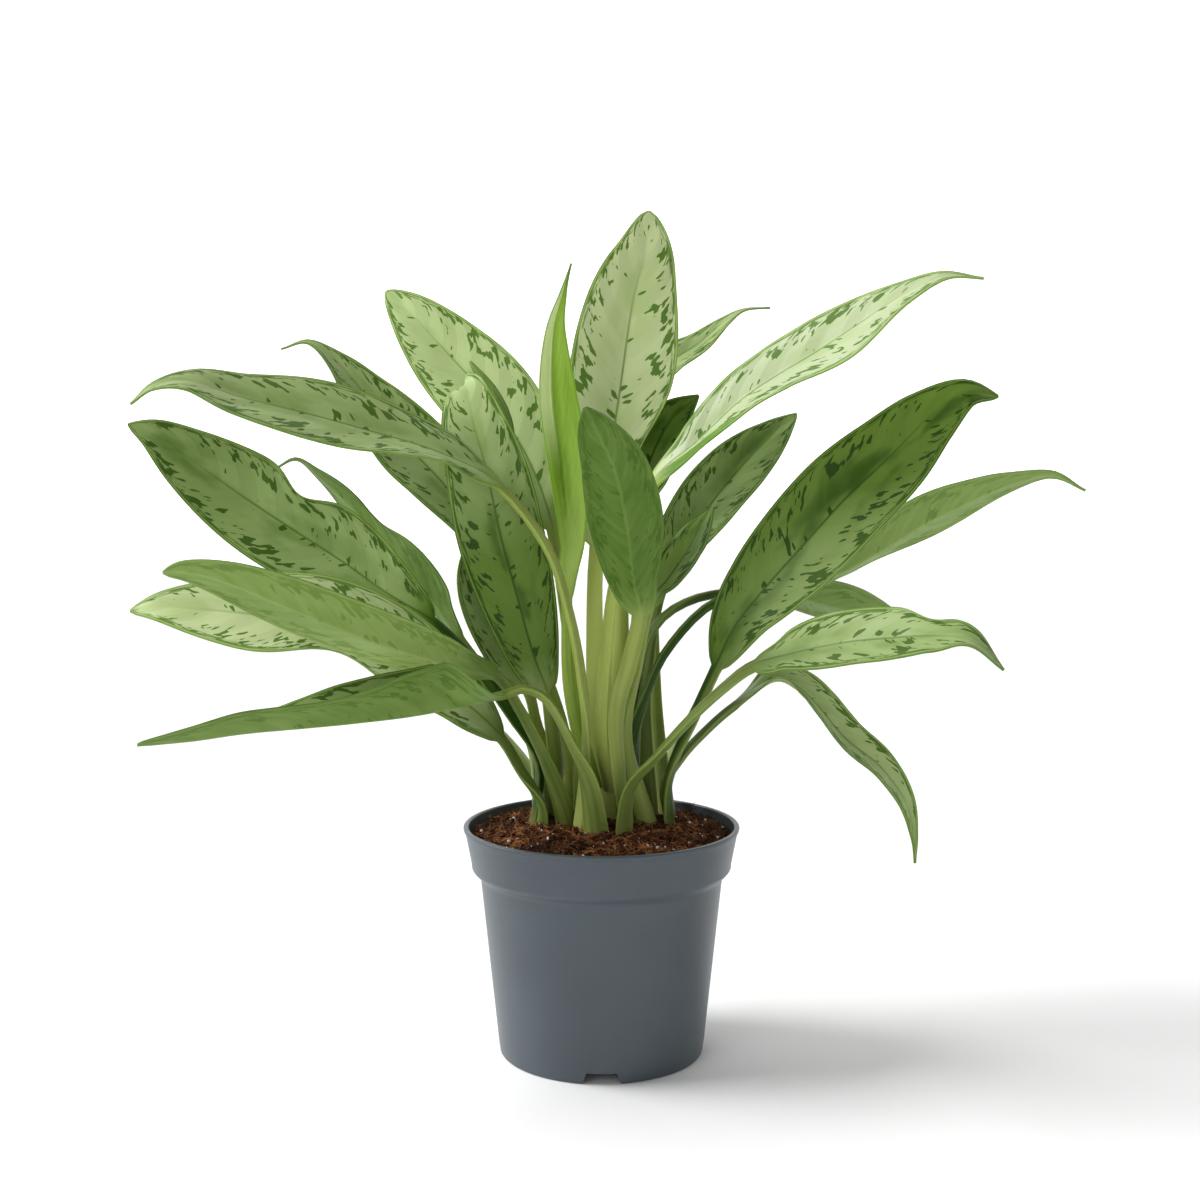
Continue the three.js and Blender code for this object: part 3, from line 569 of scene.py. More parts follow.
# Each leaf: its half width, the fold of its halves at the blade's base and tip in degrees, where
# along its points the blade starts, and the points of its spine as x, y, z and turn.
LEAVES = {
    "leaf_top": dict(
        half=24.5, fold=(20, 6), peak=0.95, taper=0.65, point=0, stalk=1.2, bays=[(0.25, 1, -0.4, 0.15)],
        finish=LEAF_PALE, dark=0.12, stalk_dark=-0.1, points=[
            (2, 13, 88, -5), (-2, 14, 150, 0), (-3, 17, 190, 0), (-2, 20, 220, 0), (2, 26, 249, 0),
            (8, 36, 287, 0), (14, 48, 328, 0), (20, 58, 353, 3), (22, 66, 372, 5)]),
    "leaf_front": dict(
        half=15.5, fold=(22, 8), peak=0.9, taper=0.75, stalk=1.2, roll=0.15, dark=0.9, stalk_dark=0.5,
        points=[
            (11.5, 0, 88, 260), (6, -9, 145, 220), (12, -13, 173, 180), (16, -18, 193, 180),
            (13, -32, 209, 180), (10, -54, 232, 180), (5, -74, 254, 178), (-2, -89, 269, 176),
            (-6, -104, 277, 175)]),
    "leaf_young": dict(
        half=13.5, fold=(40, 50), peak=0.95, point=0.9, roll=0, wave=0, finish=YOUNG_LEAF,
        slot="young_leaf", points=[
            (-3, 2, 114, 40), (-8, 1, 133, 40), (-14, 0, 163, 40), (-15, 0, 198, 40), (-16, -1, 228, 35),
            (-19, -2, 258, 30), (-22, -3, 285, 25), (-21, -2, 311, 20), (-17, 0, 327, 15),
            (-13, 4, 341, 10)]),
    "leaf_back_left": dict(
        half=22, fold=(20, 8), peak=0.95, taper=0.7, point=0, dark=0.13, stalk_dark=0.4, points=[
            (-9, 11, 88, 40), (-9, 16, 138, 35), (-14, 22, 178, 30), (-22, 30, 227, 20), (-33, 46, 257, 18),
            (-50, 62, 283, 16), (-72, 78, 307, 14), (-90, 90, 326, 12), (-104, 100, 339, 10)]),
    "leaf_inner_left": dict(
        half=19, fold=(30, 12), dark=0.5, points=[
            (-20, 29, 88, 0), (-23, 24, 117, 25), (-29, 22, 140, 45), (-33, 20, 156, 40),
            (-45, 16, 178, 30), (-50, 14, 208, 30), (-44, 15, 240, 70), (-44, 18, 267, 110),
            (-49, 22, 286, 122), (-58, 26, 301, 125)]),
    "leaf_left_upright": dict(
        half=19, fold=(16, 4), peak=0.95, taper=0.6, dark=1.1, stalk_dark=0.6, tip_dark=0.3, points=[
            (-20, 16, 114, 60), (-20, 14, 123, 45), (-22, 8, 142, 35), (-24, 4, 157, 22),
            (-30, -1, 176, 16), (-36, -4, 199, 12), (-43, -6, 226, 10), (-49, -5, 254, 8),
            (-55, -1, 275, 5), (-58, 10, 289, 0), (-60, 24, 291, 0)]),
    "leaf_arch_left": dict(
        half=21, fold=(24, 8), start=5, peak=0.95, taper=0.7, point=0.6, stalk=1.2, dark=0.45,
        stalk_dark=0.45, points=[
            (-11, -3, 88, 110), (-6, -9, 136, 95), (-8, -13, 165, 75), (-13, -16, 193, 75),
            (-22, -18, 221, 75), (-42, -21, 247, 72), (-68, -24, 261, 62), (-97, -28, 270, 55),
            (-122, -33, 277, 55), (-146, -38, 283, 58), (-164, -43, 289, 60), (-178, -46, 287, 60),
            (-187, -48, 280, 60)]),
    "leaf_mid_left": dict(
        half=24, fold=(20, 10), start=4, peak=0.95, taper=0.7, bays=[(0.5, 1, -0.36, 0.08)], dark=0.55,
        stalk_dark=1.0, tip_dark=0.75, points=[
            (-31, 15, 88, 100), (-27, 14, 123, 75), (-39, 10, 146, 50), (-57, 13, 170, 40),
            (-75, 15, 187, 32), (-96, 23, 199, 28), (-116, 31, 212, 26), (-142, 37, 228, 25),
            (-164, 42, 242, 25), (-187, 45, 258, 25), (-203, 47, 269, 28), (-216, 49, 274, 30)]),
    "leaf_under_left": dict(
        half=17, fold=(22, 10), start=4, peak=0.95, taper=0.65, point=0, dark=0.12, stalk_dark=0.8,
        tip_dark=0.4, points=[
            (-17, 6, 88, 210), (-16, 3, 103, 175), (-24, -2, 128, 140), (-35, -6, 151, 138),
            (-45, -9, 166, 138), (-64, -16, 172, 140), (-84, -24, 179, 142), (-106, -31, 188, 143),
            (-128, -37, 198, 143), (-150, -42, 208, 142), (-166, -45, 213, 140), (-176, -47, 213, 138)]),
    "leaf_low_left": dict(
        half=22, fold=(20, 10), peak=0.95, taper=0.7, bays=[(0.46, -1, -0.5, 0.14)], finish=LEAF_PALE,
        dark=0.1, stalk_dark=0.8, tip_dark=0.1, points=[
            (-28, 7, 88, 145), (-25.5, 4.5, 107, 105), (-35, 6, 122, 60), (-44, 4, 137, 50),
            (-60, 3, 153, 38), (-87, -2, 174, 32), (-121, -4, 188, 30), (-151, -4, 192, 30),
            (-172, -3, 194, 30), (-190, -2, 195, 32), (-203, 0, 193, 35)]),
    "leaf_folded_left": dict(
        half=21, fold=(75, 10), start=5, peak=0.55, taper=0.65, point=0, stalk=1.25, roll=0, wave=0.4,
        bays=[(0.5, -1, -0.25, 0.2)], dark=0.72, stalk_dark=0.7, points=[
            (-1, -11, 88, 170), (-5, -16.5, 120, 140), (-12, -18, 138, 105), (-22, -21, 157, 100),
            (-32, -24, 163, 96), (-42, -29, 161, 95), (-73, -44, 156, 95), (-97, -54, 154, 95),
            (-117, -62, 153, 100), (-139, -70, 152, 108), (-159, -77, 150, 114), (-178, -82, 149, 115)]),
    "leaf_curl_left": dict(
        half=20, fold=(22, 14), point=0.9, dark=0.5, points=[
            (-10.5, 22.5, 88, -50), (-17.5, 30.5, 132, -5), (-28, 32, 168, 40), (-40, 37, 201, 36),
            (-55, 44, 226, 36), (-74, 52, 248, 36), (-90, 60, 264, 36), (-109, 68, 286, 38),
            (-123, 74, 302, 45), (-138, 79, 313, 60), (-152, 82, 310, 70)]),
    "leaf_green_left": dict(
        half=16, fold=(20, 10), peak=0.8, point=1, bays=[(0.55, -1, -0.5, 0.15)], dark=0.75, points=[
            (-28, 24, 88, 50), (-31, 24, 130, 85), (-48, 28, 157, 120), (-63, 32, 177, 125),
            (-74, 40, 191, 130), (-88, 48, 206, 132), (-101, 56, 219, 132), (-116, 64, 235, 130),
            (-133, 71, 250, 118), (-144, 73, 258, 110), (-155, 74, 253, 100)]),
    "leaf_arch_right": dict(
        half=18, fold=(28, 10), start=4, peak=1, point=0.8, stalk=1.2, bays=[(0.62, 1, 0.3, 0.1)],
        finish=LEAF_ROLLED, dark=0.15, stalk_dark=-0.2, points=[
            (4, 1, 113.8, -60), (0, 1, 139, -60), (2, 3, 176, -60), (7, 5, 210, -58), (22, 8, 247, -54),
            (42, 8, 266, -56), (60, 6, 283, -56), (76, 4, 294, -54), (91, 1, 303, -52), (109, -3, 315, -54),
            (127, -7, 327, -58), (143, -10, 334, -54), (159, -12, 333, -58)]),
    "leaf_tip_back": dict(
        half=11, fold=(24, 12), point=0.9, dark=0.4, points=[
            (13, 27, 88, 45), (9, 32, 147, 10), (9, 42, 199, -30), (7, 52, 258, -35), (14, 64, 285, -40),
            (31, 76, 302, -45), (47, 86, 313, -50), (60, 94, 324, -60), (70, 99, 330, -70),
            (82, 103, 331, -70)]),
    "leaf_dark_back": dict(
        half=14, fold=(24, 12), dark=1.05, stalk_dark=0.7, points=[
            (31, 28, 88, -40), (25, 41, 141, -40), (23, 50, 194, -40), (18, 53, 232, -30),
            (21, 56, 252, -20), (27, 62, 267, -20), (35, 70, 279, -20), (46, 78, 288, -20)]),
    "leaf_mid_right": dict(
        half=18, fold=(30, 14), peak=0.9, taper=0.75, dark=0.65, stalk_dark=0.8, tip_dark=0.85, points=[
            (22, 29, 88, 0), (19, 30, 141, -20), (22, 33, 172, -45), (27, 38, 198, -40), (37, 48, 217, -36),
            (52, 62, 238, -34), (68, 76, 256, -34), (84, 90, 271, -36), (95, 100, 280, -40)]),
    "leaf_small_right": dict(
        half=11, fold=(34, 16), dark=0.95, stalk_dark=0.55, points=[
            (23, 7, 88, -175), (11, 5, 136, -115), (16, 5, 171, -58), (21, 6, 195, -50), (29, 7, 206, -45),
            (37, 10, 217, -42), (43, 14, 227, -42), (49, 18, 237, -45)]),
    "leaf_big_right": dict(
        half=22.5, fold=(22, 8), peak=0.92, taper=0.75, point=0, dark=0.85, stalk_dark=1.0, tip_dark=1.15,
        lean=-0.22, points=[
            (31, 10, 88, -130), (29, 8, 118, -90), (40, 6, 145, -50), (50, 4, 168, -38), (58, 3, 186, -30),
            (72, 3, 204, -26), (87, 3, 221, -25), (105, 4, 241, -25), (124, 5, 259, -26),
            (140, 6, 275, -30), (156, 7, 286, -38), (171, 8, 285, -45)]),
    "leaf_far_right": dict(
        half=18, fold=(22, 10), start=5, peak=0.9, point=1, bays=[(0.3, -1, -0.3, 0.12)], dark=0.4,
        stalk_dark=1.0, points=[
            (14, 10.5, 88, -220), (13, 15, 127, -160), (19, 20, 153, -105), (30, 24, 175, -110),
            (52, 31, 195, -118), (86, 40, 201, -125), (106, 42, 206, -128), (127, 42, 217, -130),
            (145, 41, 228, -130), (162, 38, 237, -128), (181, 35, 246, -125), (201, 32, 251, -120),
            (216, 30, 244, -115)]),
    "leaf_back_right": dict(
        half=16, fold=(22, 10), start=5, dark=0.6, stalk_dark=0.9, points=[
            (12, 18, 88, 90), (9, 21, 126, 10), (14, 22, 153, -70), (22, 23, 182, -80), (40, 34, 195, -105),
            (68, 48, 198, -120), (91, 62, 194, -130), (114, 76, 187, -130), (136, 90, 179, -130),
            (160, 103, 170, -125)]),
    "leaf_front_right": dict(
        half=15, fold=(26, 12), start=5, peak=0.9, taper=0.75, stalk=1.2, bays=[(0.7, -1, -0.35, 0.08)],
        dark=0.48, stalk_dark=0.75, tip_dark=0.55, points=[
            (9.5, -9, 88, -140), (11.5, -13, 117, -120), (23, -17, 133, -100), (37, -22, 150, -85),
            (52, -28, 165, -70), (63, -36, 174, -58), (80, -48, 181, -50), (96, -60, 186, -48),
            (112, -71, 189, -50), (127, -82, 191, -55), (139, -90, 190, -62), (150, -96, 180, -70)]),
    "leaf_droop_right": dict(
        half=12, fold=(34, 18), start=4, point=0.6, dark=0.33, stalk_dark=0.85, points=[
            (33, 20.5, 88, -80), (27.5, 17, 111, -80), (35, 17, 126, -80), (47, 18, 139, -82),
            (59, 20, 149, -84), (77, 24, 160, -75), (89, 28, 155, -62), (99, 31, 145, -55),
            (111, 34, 131, -50), (127, 37, 118, -48), (139, 39, 102, -40), (144, 40, 85, -30),
            (145, 41, 72, -25)]),
    "leaf_rear": dict(
        half=17, fold=(22, 8), start=2, peak=0.9, toward=(0, -1, 1), dark=0.5, points=[
            (2, 24, 88, 0), (6, 41, 150, 0), (11, 58, 205, 0), (11, 76, 252, 0), (9, 92, 290, 0),
            (6, 104, 322, 0)]),
    "leaf_rear_left": dict(
        half=17, fold=(22, 8), start=4, peak=0.9, toward=(0, -1, 1), dark=0.6, points=[
            (-22, 36, 88, 30), (-33, 49, 112, 30), (-45, 61, 126, 30), (-62, 70, 141, 30),
            (-77, 76, 160, 35), (-105, 87, 184, 40), (-124, 94, 200, 40), (-140, 98, 211, 40)]),
    "leaf_rear_right": dict(
        half=17, fold=(22, 8), peak=0.9, toward=(0, -1, 1), dark=0.6, points=[
            (25, 37, 88, -20), (30, 46, 112, -20), (44, 64, 138, -25), (57, 78, 160, -30),
            (80, 89, 197, -35), (104, 91, 225, -35), (119, 93, 240, -35), (139, 96, 257, -35)]),
}


def spine_at(points, u):
    """The place and turn at u on the smooth curve through a leaf's points."""
    last = len(points) - 1
    i = min(last - 1, int(u))
    t = u - i
    p1 = points[i]
    p2 = points[i + 1]
    p0 = points[i - 1] if i > 0 else 2 * p1 - p2
    p3 = points[i + 2] if i + 2 <= last else 2 * p2 - p1
    return 0.5 * (2 * p1 + (p2 - p0) * t + (2 * p0 - 5 * p1 + 4 * p2 - p3) * t * t
                  + (3 * p1 - p0 - 3 * p2 + p3) * t * t * t)


def even_places(points, start, end, count):
    """The places between two points of the spine that cut it into equal lengths."""
    steps = 240
    marks = [start + (end - start) * i / steps for i in range(steps + 1)]
    line = np.array([spine_at(points, u)[:3] for u in marks])
    lengths = np.concatenate([[0], np.cumsum(np.linalg.norm(np.diff(line, axis=0), axis=1))])
    return list(np.interp(np.linspace(0, lengths[-1], count + 1), lengths, marks)), lengths[-1]


def frame_at(points, u, toward):
    """A place on the spine, with the way that the leaf faces there and the way across it."""
    small = 0.02
    last = len(points) - 1
    here = spine_at(points, u)
    along = spine_at(points, min(last, u + small))[:3] - spine_at(points, max(0, u - small))[:3]
    along = along / np.linalg.norm(along)
    front = np.array(toward, float)
    front = front - along * front.dot(along)
    front = front / np.linalg.norm(front)
    side = np.cross(along, front)
    turn = math.radians(here[3])
    face = front * math.cos(turn) + side * math.sin(turn)
    return here[:3], face, np.cross(along, face)


def bay_share(leaf, s, v):
    """The share of the half width that the leaf's bays leave on one side of the midrib."""
    share = 1.0
    for place, side, amount, length in leaf["bays"]:
        share += max(0, v * side) * amount * math.exp(-((s - place) / length) ** 2)
    return share


def leaf_row(leaf, u, t, s, ripple):
    """The points around one row of a leaf, with what its material needs to know of each."""
    centre, face, across = frame_at(leaf["points"], u, leaf["toward"])
    stalk_half = leaf["stalk"] * mix(STALK_BOTTOM, STALK_TOP, smooth(t)) * mix(1, BLADE_TIP / STALK_TOP, s)
    shape = max(0.0, math.sin(math.pi * min(1, s) ** leaf["peak"])) ** (leaf["taper"] + leaf["point"] * s)
    full_half = stalk_half + (leaf["half"] - stalk_half) * shape
    rib = mix(STALK_TOP_RIB, 0, s ** RIB_FADE) if s > 0 else mix(STALK_BOTTOM_RIB, STALK_TOP_RIB, t)
    opened = smooth(s / OPENING)
    fold = math.radians(mix(leaf["fold"][0], leaf["fold"][1], s)) * opened
    upper_rib = UPPER_RIB * (1 - UPPER_RIB_SINK * opened)
    points, widths = [], []
    for side in (1, -1):
        for i in range(ACROSS):
            v = side * (2 * i / (ACROSS - 1) - 1)
            half = full_half * bay_share(leaf, s, v)
            arch = math.cos(abs(v) * math.pi / 2) ** mix(1, RIB_SHARPNESS, opened)
            thickness = BLADE_EDGE + rib * arch * (upper_rib if side > 0 else 1)
            phase = 2 * math.pi * leaf["waves"] * s + WAVE_SKEW * v
            wave = leaf["wave"] * math.sin(phase) * v * v * (1 - s) + ripple * abs(v) ** 3
            lift = opened * (half * (abs(v) * math.sin(fold) - leaf["roll"] * v * v) + wave)
            points.append(centre + across * half * v * math.cos(fold) + face * (lift + side * thickness))
            widths.append((v, half * v, half * (1 - abs(v)), side))
    return points, widths


def make_leaf(name, values, number):
    """A leaf as one closed skin. Each of its points knows its place across and along the blade and
    its face (blade), its place in millimetres and that from the margin (spot), and its tone, which
    is the depth of its colour with painted shade in it."""
    leaf = {**PLAIN, **values}
    spine = leaf["points"] = [np.array(p, float) for p in leaf["points"]]
    rows = STALK_ROWS + BLADE_ROWS
    stalk_places, stalk_length = even_places(spine, 0, leaf["start"], STALK_ROWS)
    blade_places, blade_length = even_places(spine, leaf["start"], len(spine) - 1, BLADE_ROWS)
    grid, blade, spot, tones = [], [], [], []
    for row in range(rows + 1):
        t = min(1, row / STALK_ROWS)
        s = max(0, (row - STALK_ROWS) / BLADE_ROWS)
        u = stalk_places[row] if row <= STALK_ROWS else blade_places[row - STALK_ROWS]
        ripple = RIPPLE * noise.noise(Vector((s * RIPPLE_RATE, number * RIPPLES_APART, 0.5)))
        points, widths = leaf_row(leaf, u, t, s, ripple)
        y = (t - 1) * stalk_length + s * blade_length
        grid.append(points)
        blade.append([(v, s if s > 0 else t - 1, side) for v, x, edge, side in widths])
        # Painted shade in the tone: deeper at the stalk or the tip where these lie in shade, and one half
        # lighter and the other darker where the light falls on one side.
        tip_share = smooth((s - TIP_COLOUR_FROM) / TIP_COLOUR_OVER)
        blade_dark = mix(leaf["dark"], leaf.get("tip_dark", leaf["dark"]), tip_share)
        row_dark = mix(leaf.get("stalk_dark", leaf["dark"]), blade_dark, smooth(s / OPENING))
        tones.append([row_dark + leaf["lean"] * v for v, x, edge, side in widths])
        spot.append([(x, y + LEAVES_APART * number, edge) for v, x, edge, side in widths])
    piece, column, row = rolled_grid(name + "_fine", leaf["finish"], 2 * ACROSS, rows)
    piece.data.vertices.foreach_set("co", (np.array(grid)[row, column] * MM).ravel())
    for attribute, known in {"blade": blade, "spot": spot, "tone": tones}.items():
        add_attribute(piece, attribute, np.array(known)[row, column])
    weld(piece, SEAM, open_ends=True)
    settle(piece)
    smooth_faces(piece, 70)
    mount(piece, leaf["slot"], name)


for number, (name, values) in enumerate(LEAVES.items()):
    make_leaf(name, values, number)


# ---- shoots ----

# Each shoot: where it stands as x and y, its radius, and the height of its top.
SHOOTS = {
    "shoot_centre": (1.5, 0.5, 7, 112.6),
    "shoot_left": (-20, 17, 5.5, 112.6),
    "shoot_right": (22, 18, 4.5, 106),
}
SHOOT_BOTTOM = 90
SHOOT_FOOT = 0.8
SHOOT_WIDEST_AT = 0.35
SHOOT_NECK = 0.93
SHOOT_ROUNDING = 1
JOINT_RELIEF = 0.25


def turned(name, profile, sides, material):
    """A turned piece: a ring is drawn out and resized from point to point of its profile."""
    clear_choice()
    bpy.ops.mesh.primitive_circle_add(vertices=sides, radius=profile[0][0] * MM, fill_type="NOTHING",
                                      location=(0, 0, profile[0][1] * MM))
    piece = new_piece(name, material)
    edit(piece)
    bpy.ops.mesh.select_all(action="SELECT")
    for (r0, z0), (r1, z1) in zip(profile, profile[1:]):
        bpy.ops.mesh.extrude_edges_move(TRANSFORM_OT_translate={"value": (0, 0, (z1 - z0) * MM)})
        bpy.ops.transform.resize(value=(r1 / r0, r1 / r0, 1))
    bpy.ops.object.mode_set(mode="OBJECT")
    return piece


def make_shoot(name, x, y, radius, top):
    """A stem that narrows upwards, with the low rings where old leaves were joined to it."""
    profile = [(radius * SHOOT_FOOT, SHOOT_BOTTOM), (radius, mix(SHOOT_BOTTOM, top, SHOOT_WIDEST_AT))]
    for z in np.linspace(mix(SHOOT_BOTTOM, top, 0.45), top - 1.2, 12):
        plain = mix(radius, radius * SHOOT_NECK, (z - SHOOT_BOTTOM) / (top - SHOOT_BOTTOM))
        profile.append((plain - JOINT_RELIEF + JOINT_RELIEF * math.sin(z * 1.1) ** 6, float(z)))
    profile.append((radius * SHOOT_NECK - SHOOT_ROUNDING, top))
    piece = turned(name + "_fine", profile, 40, SHOOT)
    weld(piece, SEAM, open_ends=True)
    piece.location = (x * MM, y * MM, 0)
    settle(piece)
    smooth_faces(piece, 50)
    mount(piece, "shoot", name)


for name, values in SHOOTS.items():
    make_shoot(name, *values)


# ---- pot ----

POT_HEIGHT = 100
RIM_RADIUS = 60
LIP_RADIUS = 59.2
LIP_BOTTOM = 98
BAND_BOTTOM = 82.5
BAND_RADIUS = 56.5
SHOULDER_BOTTOM = 77
BODY_TOP_RADIUS = 52.6
BASE_RADIUS = 44.6
WALL = 1.5
FOOT_HEIGHT = 5
FOOT_WIDTH = 3
FLOOR = 2
FOOT_ROUNDING = 1.2
RIM_ROUNDING = 0.8
POT_SIDES = 144
NOTCH_WIDTH = 17
NOTCH_TOP_WIDTH = 12.6
NOTCH_TOP = 4.9
NOTCH_BELOW = 1
NOTCH_DEPTH = 12
DRAIN_RING = 30
DRAIN_RADIUS = 3

# Turned pieces end in a tiny ring around the axis, which is welded to one point.
AXIS_RING = 0.01


def body_radius(z):
    return mix(BASE_RADIUS, BODY_TOP_RADIUS, z / SHOULDER_BOTTOM)


def make_pot():
    """The pot's skin from the foot ring up its outer side, over the rim, down its inner side and
    across its floor, joined to its underside. The notches and drainage holes are cut last."""
    arc = [math.radians(a) for a in (0, 22.5, 45, 67.5, 90)]
    profile = [(BASE_RADIUS - FOOT_WIDTH, 0)]
    profile += [(BASE_RADIUS - FOOT_ROUNDING + FOOT_ROUNDING * math.sin(a),
                 FOOT_ROUNDING - FOOT_ROUNDING * math.cos(a)) for a in arc]
    profile += [(body_radius(z), z) for z in np.linspace(6, SHOULDER_BOTTOM - 1.5, 10)]
    profile += [(mix(BODY_TOP_RADIUS, BAND_RADIUS, smooth(t)), mix(SHOULDER_BOTTOM, BAND_BOTTOM, t))
                for t in np.linspace(0, 1, 9)]
    profile += [(mix(BAND_RADIUS, LIP_RADIUS, t), mix(BAND_BOTTOM + 1.2, LIP_BOTTOM - 0.4, t))
                for t in np.linspace(0.02, 1, 6)]
    profile += [(LIP_RADIUS + 0.15, LIP_BOTTOM - 0.1), (RIM_RADIUS - 0.25, LIP_BOTTOM + 0.15)]
    profile += [(RIM_RADIUS - RIM_ROUNDING + RIM_ROUNDING * math.cos(a),
                 POT_HEIGHT - RIM_ROUNDING + RIM_ROUNDING * math.sin(a)) for a in arc]
    profile += [(LIP_RADIUS - WALL + 0.5, POT_HEIGHT), (LIP_RADIUS - WALL, POT_HEIGHT - 0.5)]
    profile += [(LIP_RADIUS - WALL, LIP_BOTTOM), (BAND_RADIUS - WALL, BAND_BOTTOM)]
    profile += [(BODY_TOP_RADIUS - WALL, SHOULDER_BOTTOM), (body_radius(7) - WALL, FOOT_HEIGHT + FLOOR)]
    profile += [(AXIS_RING, FOOT_HEIGHT + FLOOR)]
    pot = turned("pot_fine", [(float(r), float(z)) for r, z in profile], POT_SIDES, POT)
    inner = BASE_RADIUS - FOOT_WIDTH
    hollow = [(inner, 0), (inner, FOOT_HEIGHT), (AXIS_RING, FOOT_HEIGHT)]
    underside = turned("pot_underside", hollow, POT_SIDES, POT)
    choose(pot)
    underside.select_set(True)
    bpy.ops.object.join()
    weld(pot, 2 * AXIS_RING * MM)
    for i in range(4):
        cut_from(pot, notch_cutter(math.pi / 2 * i))
        cut_from(pot, drain_cutter(math.pi / 2 * (i + 0.5)))
    settle(pot)
    smooth_faces(pot, 35)
    mount(pot, "pot", "pot")


def cut_from(piece, cutter):
    choose(piece)
    cut = piece.modifiers.new("cut", "BOOLEAN")
    cut.operation = "DIFFERENCE"
    cut.solver = "EXACT"
    cut.object = cutter
    bpy.ops.object.modifier_apply(modifier="cut")
    bpy.data.objects.remove(cutter)


def notch_cutter(angle):
    """A block with sloping sides, drawn in at the top, that opens the foot from below."""
    clear_choice()
    bpy.ops.mesh.primitive_cube_add(
        size=1, location=(0, -BASE_RADIUS * MM, (NOTCH_TOP - NOTCH_BELOW) / 2 * MM),
        scale=(NOTCH_WIDTH * MM, NOTCH_DEPTH * MM, (NOTCH_TOP + NOTCH_BELOW) * MM))
    cutter = new_piece("notch", POT)
    pick_parts(cutter, "VERT", lambda vertex: vertex.co.z > 0)
    bpy.ops.transform.resize(value=(NOTCH_TOP_WIDTH / NOTCH_WIDTH, 1, 1))
    settle(cutter)
    cutter.rotation_euler = (0, 0, angle)
    return settle(cutter)


def drain_cutter(angle):
    clear_choice()
    x, y = DRAIN_RING * math.cos(angle), DRAIN_RING * math.sin(angle)
    bpy.ops.mesh.primitive_cylinder_add(vertices=32, radius=DRAIN_RADIUS * MM, depth=3 * FLOOR * MM,
                                        location=(x * MM, y * MM, (FOOT_HEIGHT + FLOOR / 2) * MM))
    return new_piece("drain", POT)


make_pot()


# ---- soil ----

SOIL_EDGE = 95.5
SOIL_CROWN = 98.5
SOIL_GAP = 0.3
SOIL_BOTTOM = 7.3
SOIL_BOTTOM_RADIUS = 42.5
SOIL_SIDE_GAP = 0.6
SOIL_SIDES = 240
SOIL_RINGS = 62


def soil_height(x, y):
    """The soil's broad shape: a low crown with shallow hollows, as in the part's source."""
    out = math.hypot(x, y) / BODY_TOP_RADIUS
    crossing = math.sin(0.31 * x + 1.1) * math.sin(0.27 * y - 0.6)
    slanting = 0.5 * math.sin(0.63 * x - 0.41 * y)
    return mix(SOIL_CROWN, SOIL_EDGE, min(1, out * out)) + 0.8 * (crossing + slanting)


def crumbs(x, y):
    """The crumbly relief that lies on the soil's broad shape."""
    coarse = noise.noise(Vector((x * 0.16, y * 0.16, 3.1)))
    middle = noise.noise(Vector((x * 0.42, y * 0.42, 8.7)))
    fine = noise.noise(Vector((x * 1.2, y * 1.2, 5.3)))
    return 1.2 * coarse + 1.5 * abs(middle) + 0.55 * fine


def make_soil():
    """The soil's skin: up its side in a few steps, and then in fine rings over its top."""
    side = [(AXIS_RING, SOIL_BOTTOM), (SOIL_BOTTOM_RADIUS, SOIL_BOTTOM),
            (BODY_TOP_RADIUS - WALL - SOIL_SIDE_GAP, SHOULDER_BOTTOM),
            (BAND_RADIUS - WALL - SOIL_SIDE_GAP, BAND_BOTTOM + 0.3)]
    wall_at_top = mix(BAND_RADIUS, LIP_RADIUS, (SOIL_EDGE - BAND_BOTTOM) / (LIP_BOTTOM - BAND_BOTTOM)) - WALL
    top = wall_at_top - SOIL_GAP
    soil, column, row = rolled_grid("soil_fine", SOIL, SOIL_SIDES, len(side) + SOIL_RINGS)
    places = []
    for i, j in zip(column, row):
        angle = 2 * math.pi * i / SOIL_SIDES
        if j < len(side):
            radius, z = side[j]
            places.append((radius * math.cos(angle), radius * math.sin(angle), z))
        else:
            radius = max(AXIS_RING, top * (1 - (j - len(side)) / SOIL_RINGS))
            x, y = radius * math.cos(angle), radius * math.sin(angle)
            off_wall = smooth((top - radius) / 3)
            places.append((x, y, soil_height(x, y) + mix(-0.4, crumbs(x, y), off_wall)))
    soil.data.vertices.foreach_set("co", (np.array(places) * MM).ravel())
    weld(soil, 3 * AXIS_RING * MM)
    settle(soil)
    smooth_faces(soil, 50)
    mount(soil, "soil", "soil")


make_soil()


# Fibres, crumbs and grains keep clear of the pot's wall and of the stalks and shoots.
LOOSE_REACH = 56.2
FIBRE_REACH = 56.0
SHOOT_CLEARANCE = 1.0
STALK_CLEARANCE = 4.5


def stalk_feet():
    """Where the stalks and shoots stand in the soil, as x, y and a radius to keep clear."""
    feet = [(x, y, radius + SHOOT_CLEARANCE) for x, y, radius, top in SHOOTS.values()]
    starts = [leaf["points"][0] for leaf in LEAVES.values()]
    return feet + [(x, y, STALK_CLEARANCE) for x, y, z, turn in starts if z < SOIL_EDGE]


def scatter(count, margin, seed):
    """Places on the soil with the picker that found them, which then shapes what lies there."""
    picker = random.Random(seed)
    feet = stalk_feet()
    found = []
    while len(found) < count:
        angle = picker.uniform(0, 2 * math.pi)
        radius = (LOOSE_REACH - margin) * math.sqrt(picker.random())
        x, y = radius * math.cos(angle), radius * math.sin(angle)
        if all(math.hypot(x - fx, y - fy) > keep + margin * 0.5 for fx, fy, keep in feet):
            found.append((x, y, picker))
    return found


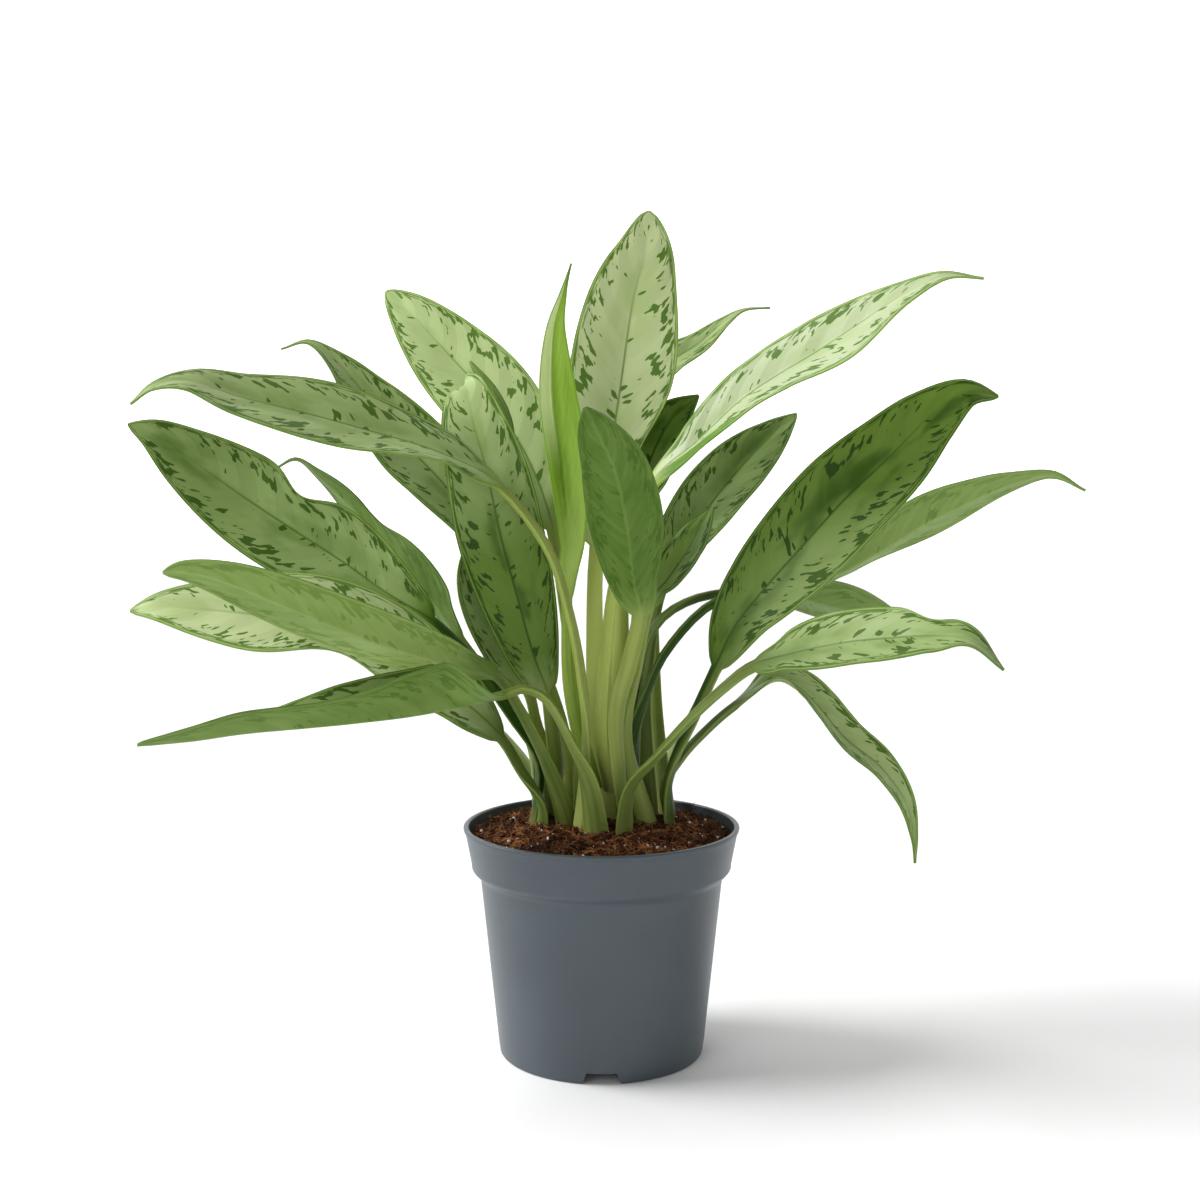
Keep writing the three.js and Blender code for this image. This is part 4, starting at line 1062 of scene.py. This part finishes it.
def copies_of(model, name, material, placings):
    """One mesh of many copies of a small model. Each placing bends its points into their place."""
    points = np.array([v.co[:] for v in model.data.vertices])
    faces = [list(p.vertices) for p in model.data.polygons]
    all_points, all_faces = [], []
    for copy, bend in enumerate(placings):
        first = copy * len(points)
        all_points.append(bend(points))
        all_faces += [[first + i for i in face] for face in faces]
    bpy.data.objects.remove(model)
    mesh = bpy.data.meshes.new(name)
    mesh.from_pydata(np.concatenate(all_points).tolist(), [], all_faces)
    piece = bpy.data.objects.new(name, mesh)
    bpy.context.scene.collection.objects.link(piece)
    mesh.materials.append(material)
    smooth_faces(piece, 60)
    mount(piece, "soil")


def make_fibres():
    """Coir fibres: thin curved hairs that lie on the soil, some with an end in the air."""
    clear_choice()
    bpy.ops.mesh.primitive_cylinder_add(vertices=5, radius=1, depth=1, location=(0, 0, 0))
    model = new_piece("fibre", FIBRE)

    def lengthwise(edge):
        a, b = (model.data.vertices[i].co for i in edge.vertices)
        return abs(a.z - b.z) > 0.5

    pick_parts(model, "EDGE", lengthwise)
    bpy.ops.mesh.subdivide(number_cuts=5)
    bpy.ops.object.mode_set(mode="OBJECT")

    def laid(x, y, picker):
        length = picker.uniform(3, 13)
        thick = picker.uniform(0.09, 0.26)
        heading = picker.uniform(0, 2 * math.pi)
        curl = picker.uniform(-1.4, 1.4)
        rear = picker.uniform(0, 1) ** 5 * 0.5
        hump = picker.uniform(0.1, 1.1)

        def bend(points):
            out = np.empty_like(points)
            for k, (px, py, pz) in enumerate(points):
                t = pz + 0.5
                turn = heading + curl * (t - 0.5)
                cx = x + length * (t - 0.5) * math.cos(turn)
                cy = y + length * (t - 0.5) * math.sin(turn)
                reach = math.hypot(cx, cy)
                if reach > FIBRE_REACH:
                    cx, cy = cx * FIBRE_REACH / reach, cy * FIBRE_REACH / reach
                ground = soil_height(cx, cy) + crumbs(cx, cy) + 0.1
                cz = ground + hump * math.sin(math.pi * t) + rear * length * t * t
                taper = thick * (1 - 0.6 * abs(2 * t - 1) ** 2)
                out[k] = (cx - math.sin(turn) * px * taper, cy + math.cos(turn) * px * taper, cz + py * taper)
            return out * MM
        return bend

    count = 1900
    copies_of(model, "coir_fibres", FIBRE, [laid(*spot) for spot in scatter(count, 1.0, 11)])


def make_lumps(name, count, sizes, material, seed, lift=0.0):
    """Crumbs of coir or grains of perlite: small uneven lumps, half sunk or lifted by the fibres."""
    clear_choice()
    bpy.ops.mesh.primitive_ico_sphere_add(subdivisions=1, radius=1, location=(0, 0, 0))
    model = new_piece(name, material)

    def laid(x, y, picker):
        size = mix(*sizes, picker.random() ** 2)
        turn = Euler([picker.uniform(0, 6.3) for _ in range(3)]).to_matrix()
        stretch = np.array([1, picker.uniform(0.6, 1), picker.uniform(0.5, 1) * 0.7])
        rough = np.array([picker.uniform(0.75, 1.2) for _ in range(12)])
        z = soil_height(x, y) + crumbs(x, y) + size * 0.25 + lift

        def bend(points):
            shaped = points * rough[:, None] * stretch * size
            return (shaped @ np.array(turn).T + np.array([x, y, z])) * MM
        return bend

    copies_of(model, name, material, [laid(*spot) for spot in scatter(count, 1.5, seed)])


make_fibres()
make_lumps("coir_crumbs", 700, (0.5, 2.2), SOIL, 23)
make_lumps("perlite_grains", 90, (0.4, 1.25), PERLITE, 37, 0.6)
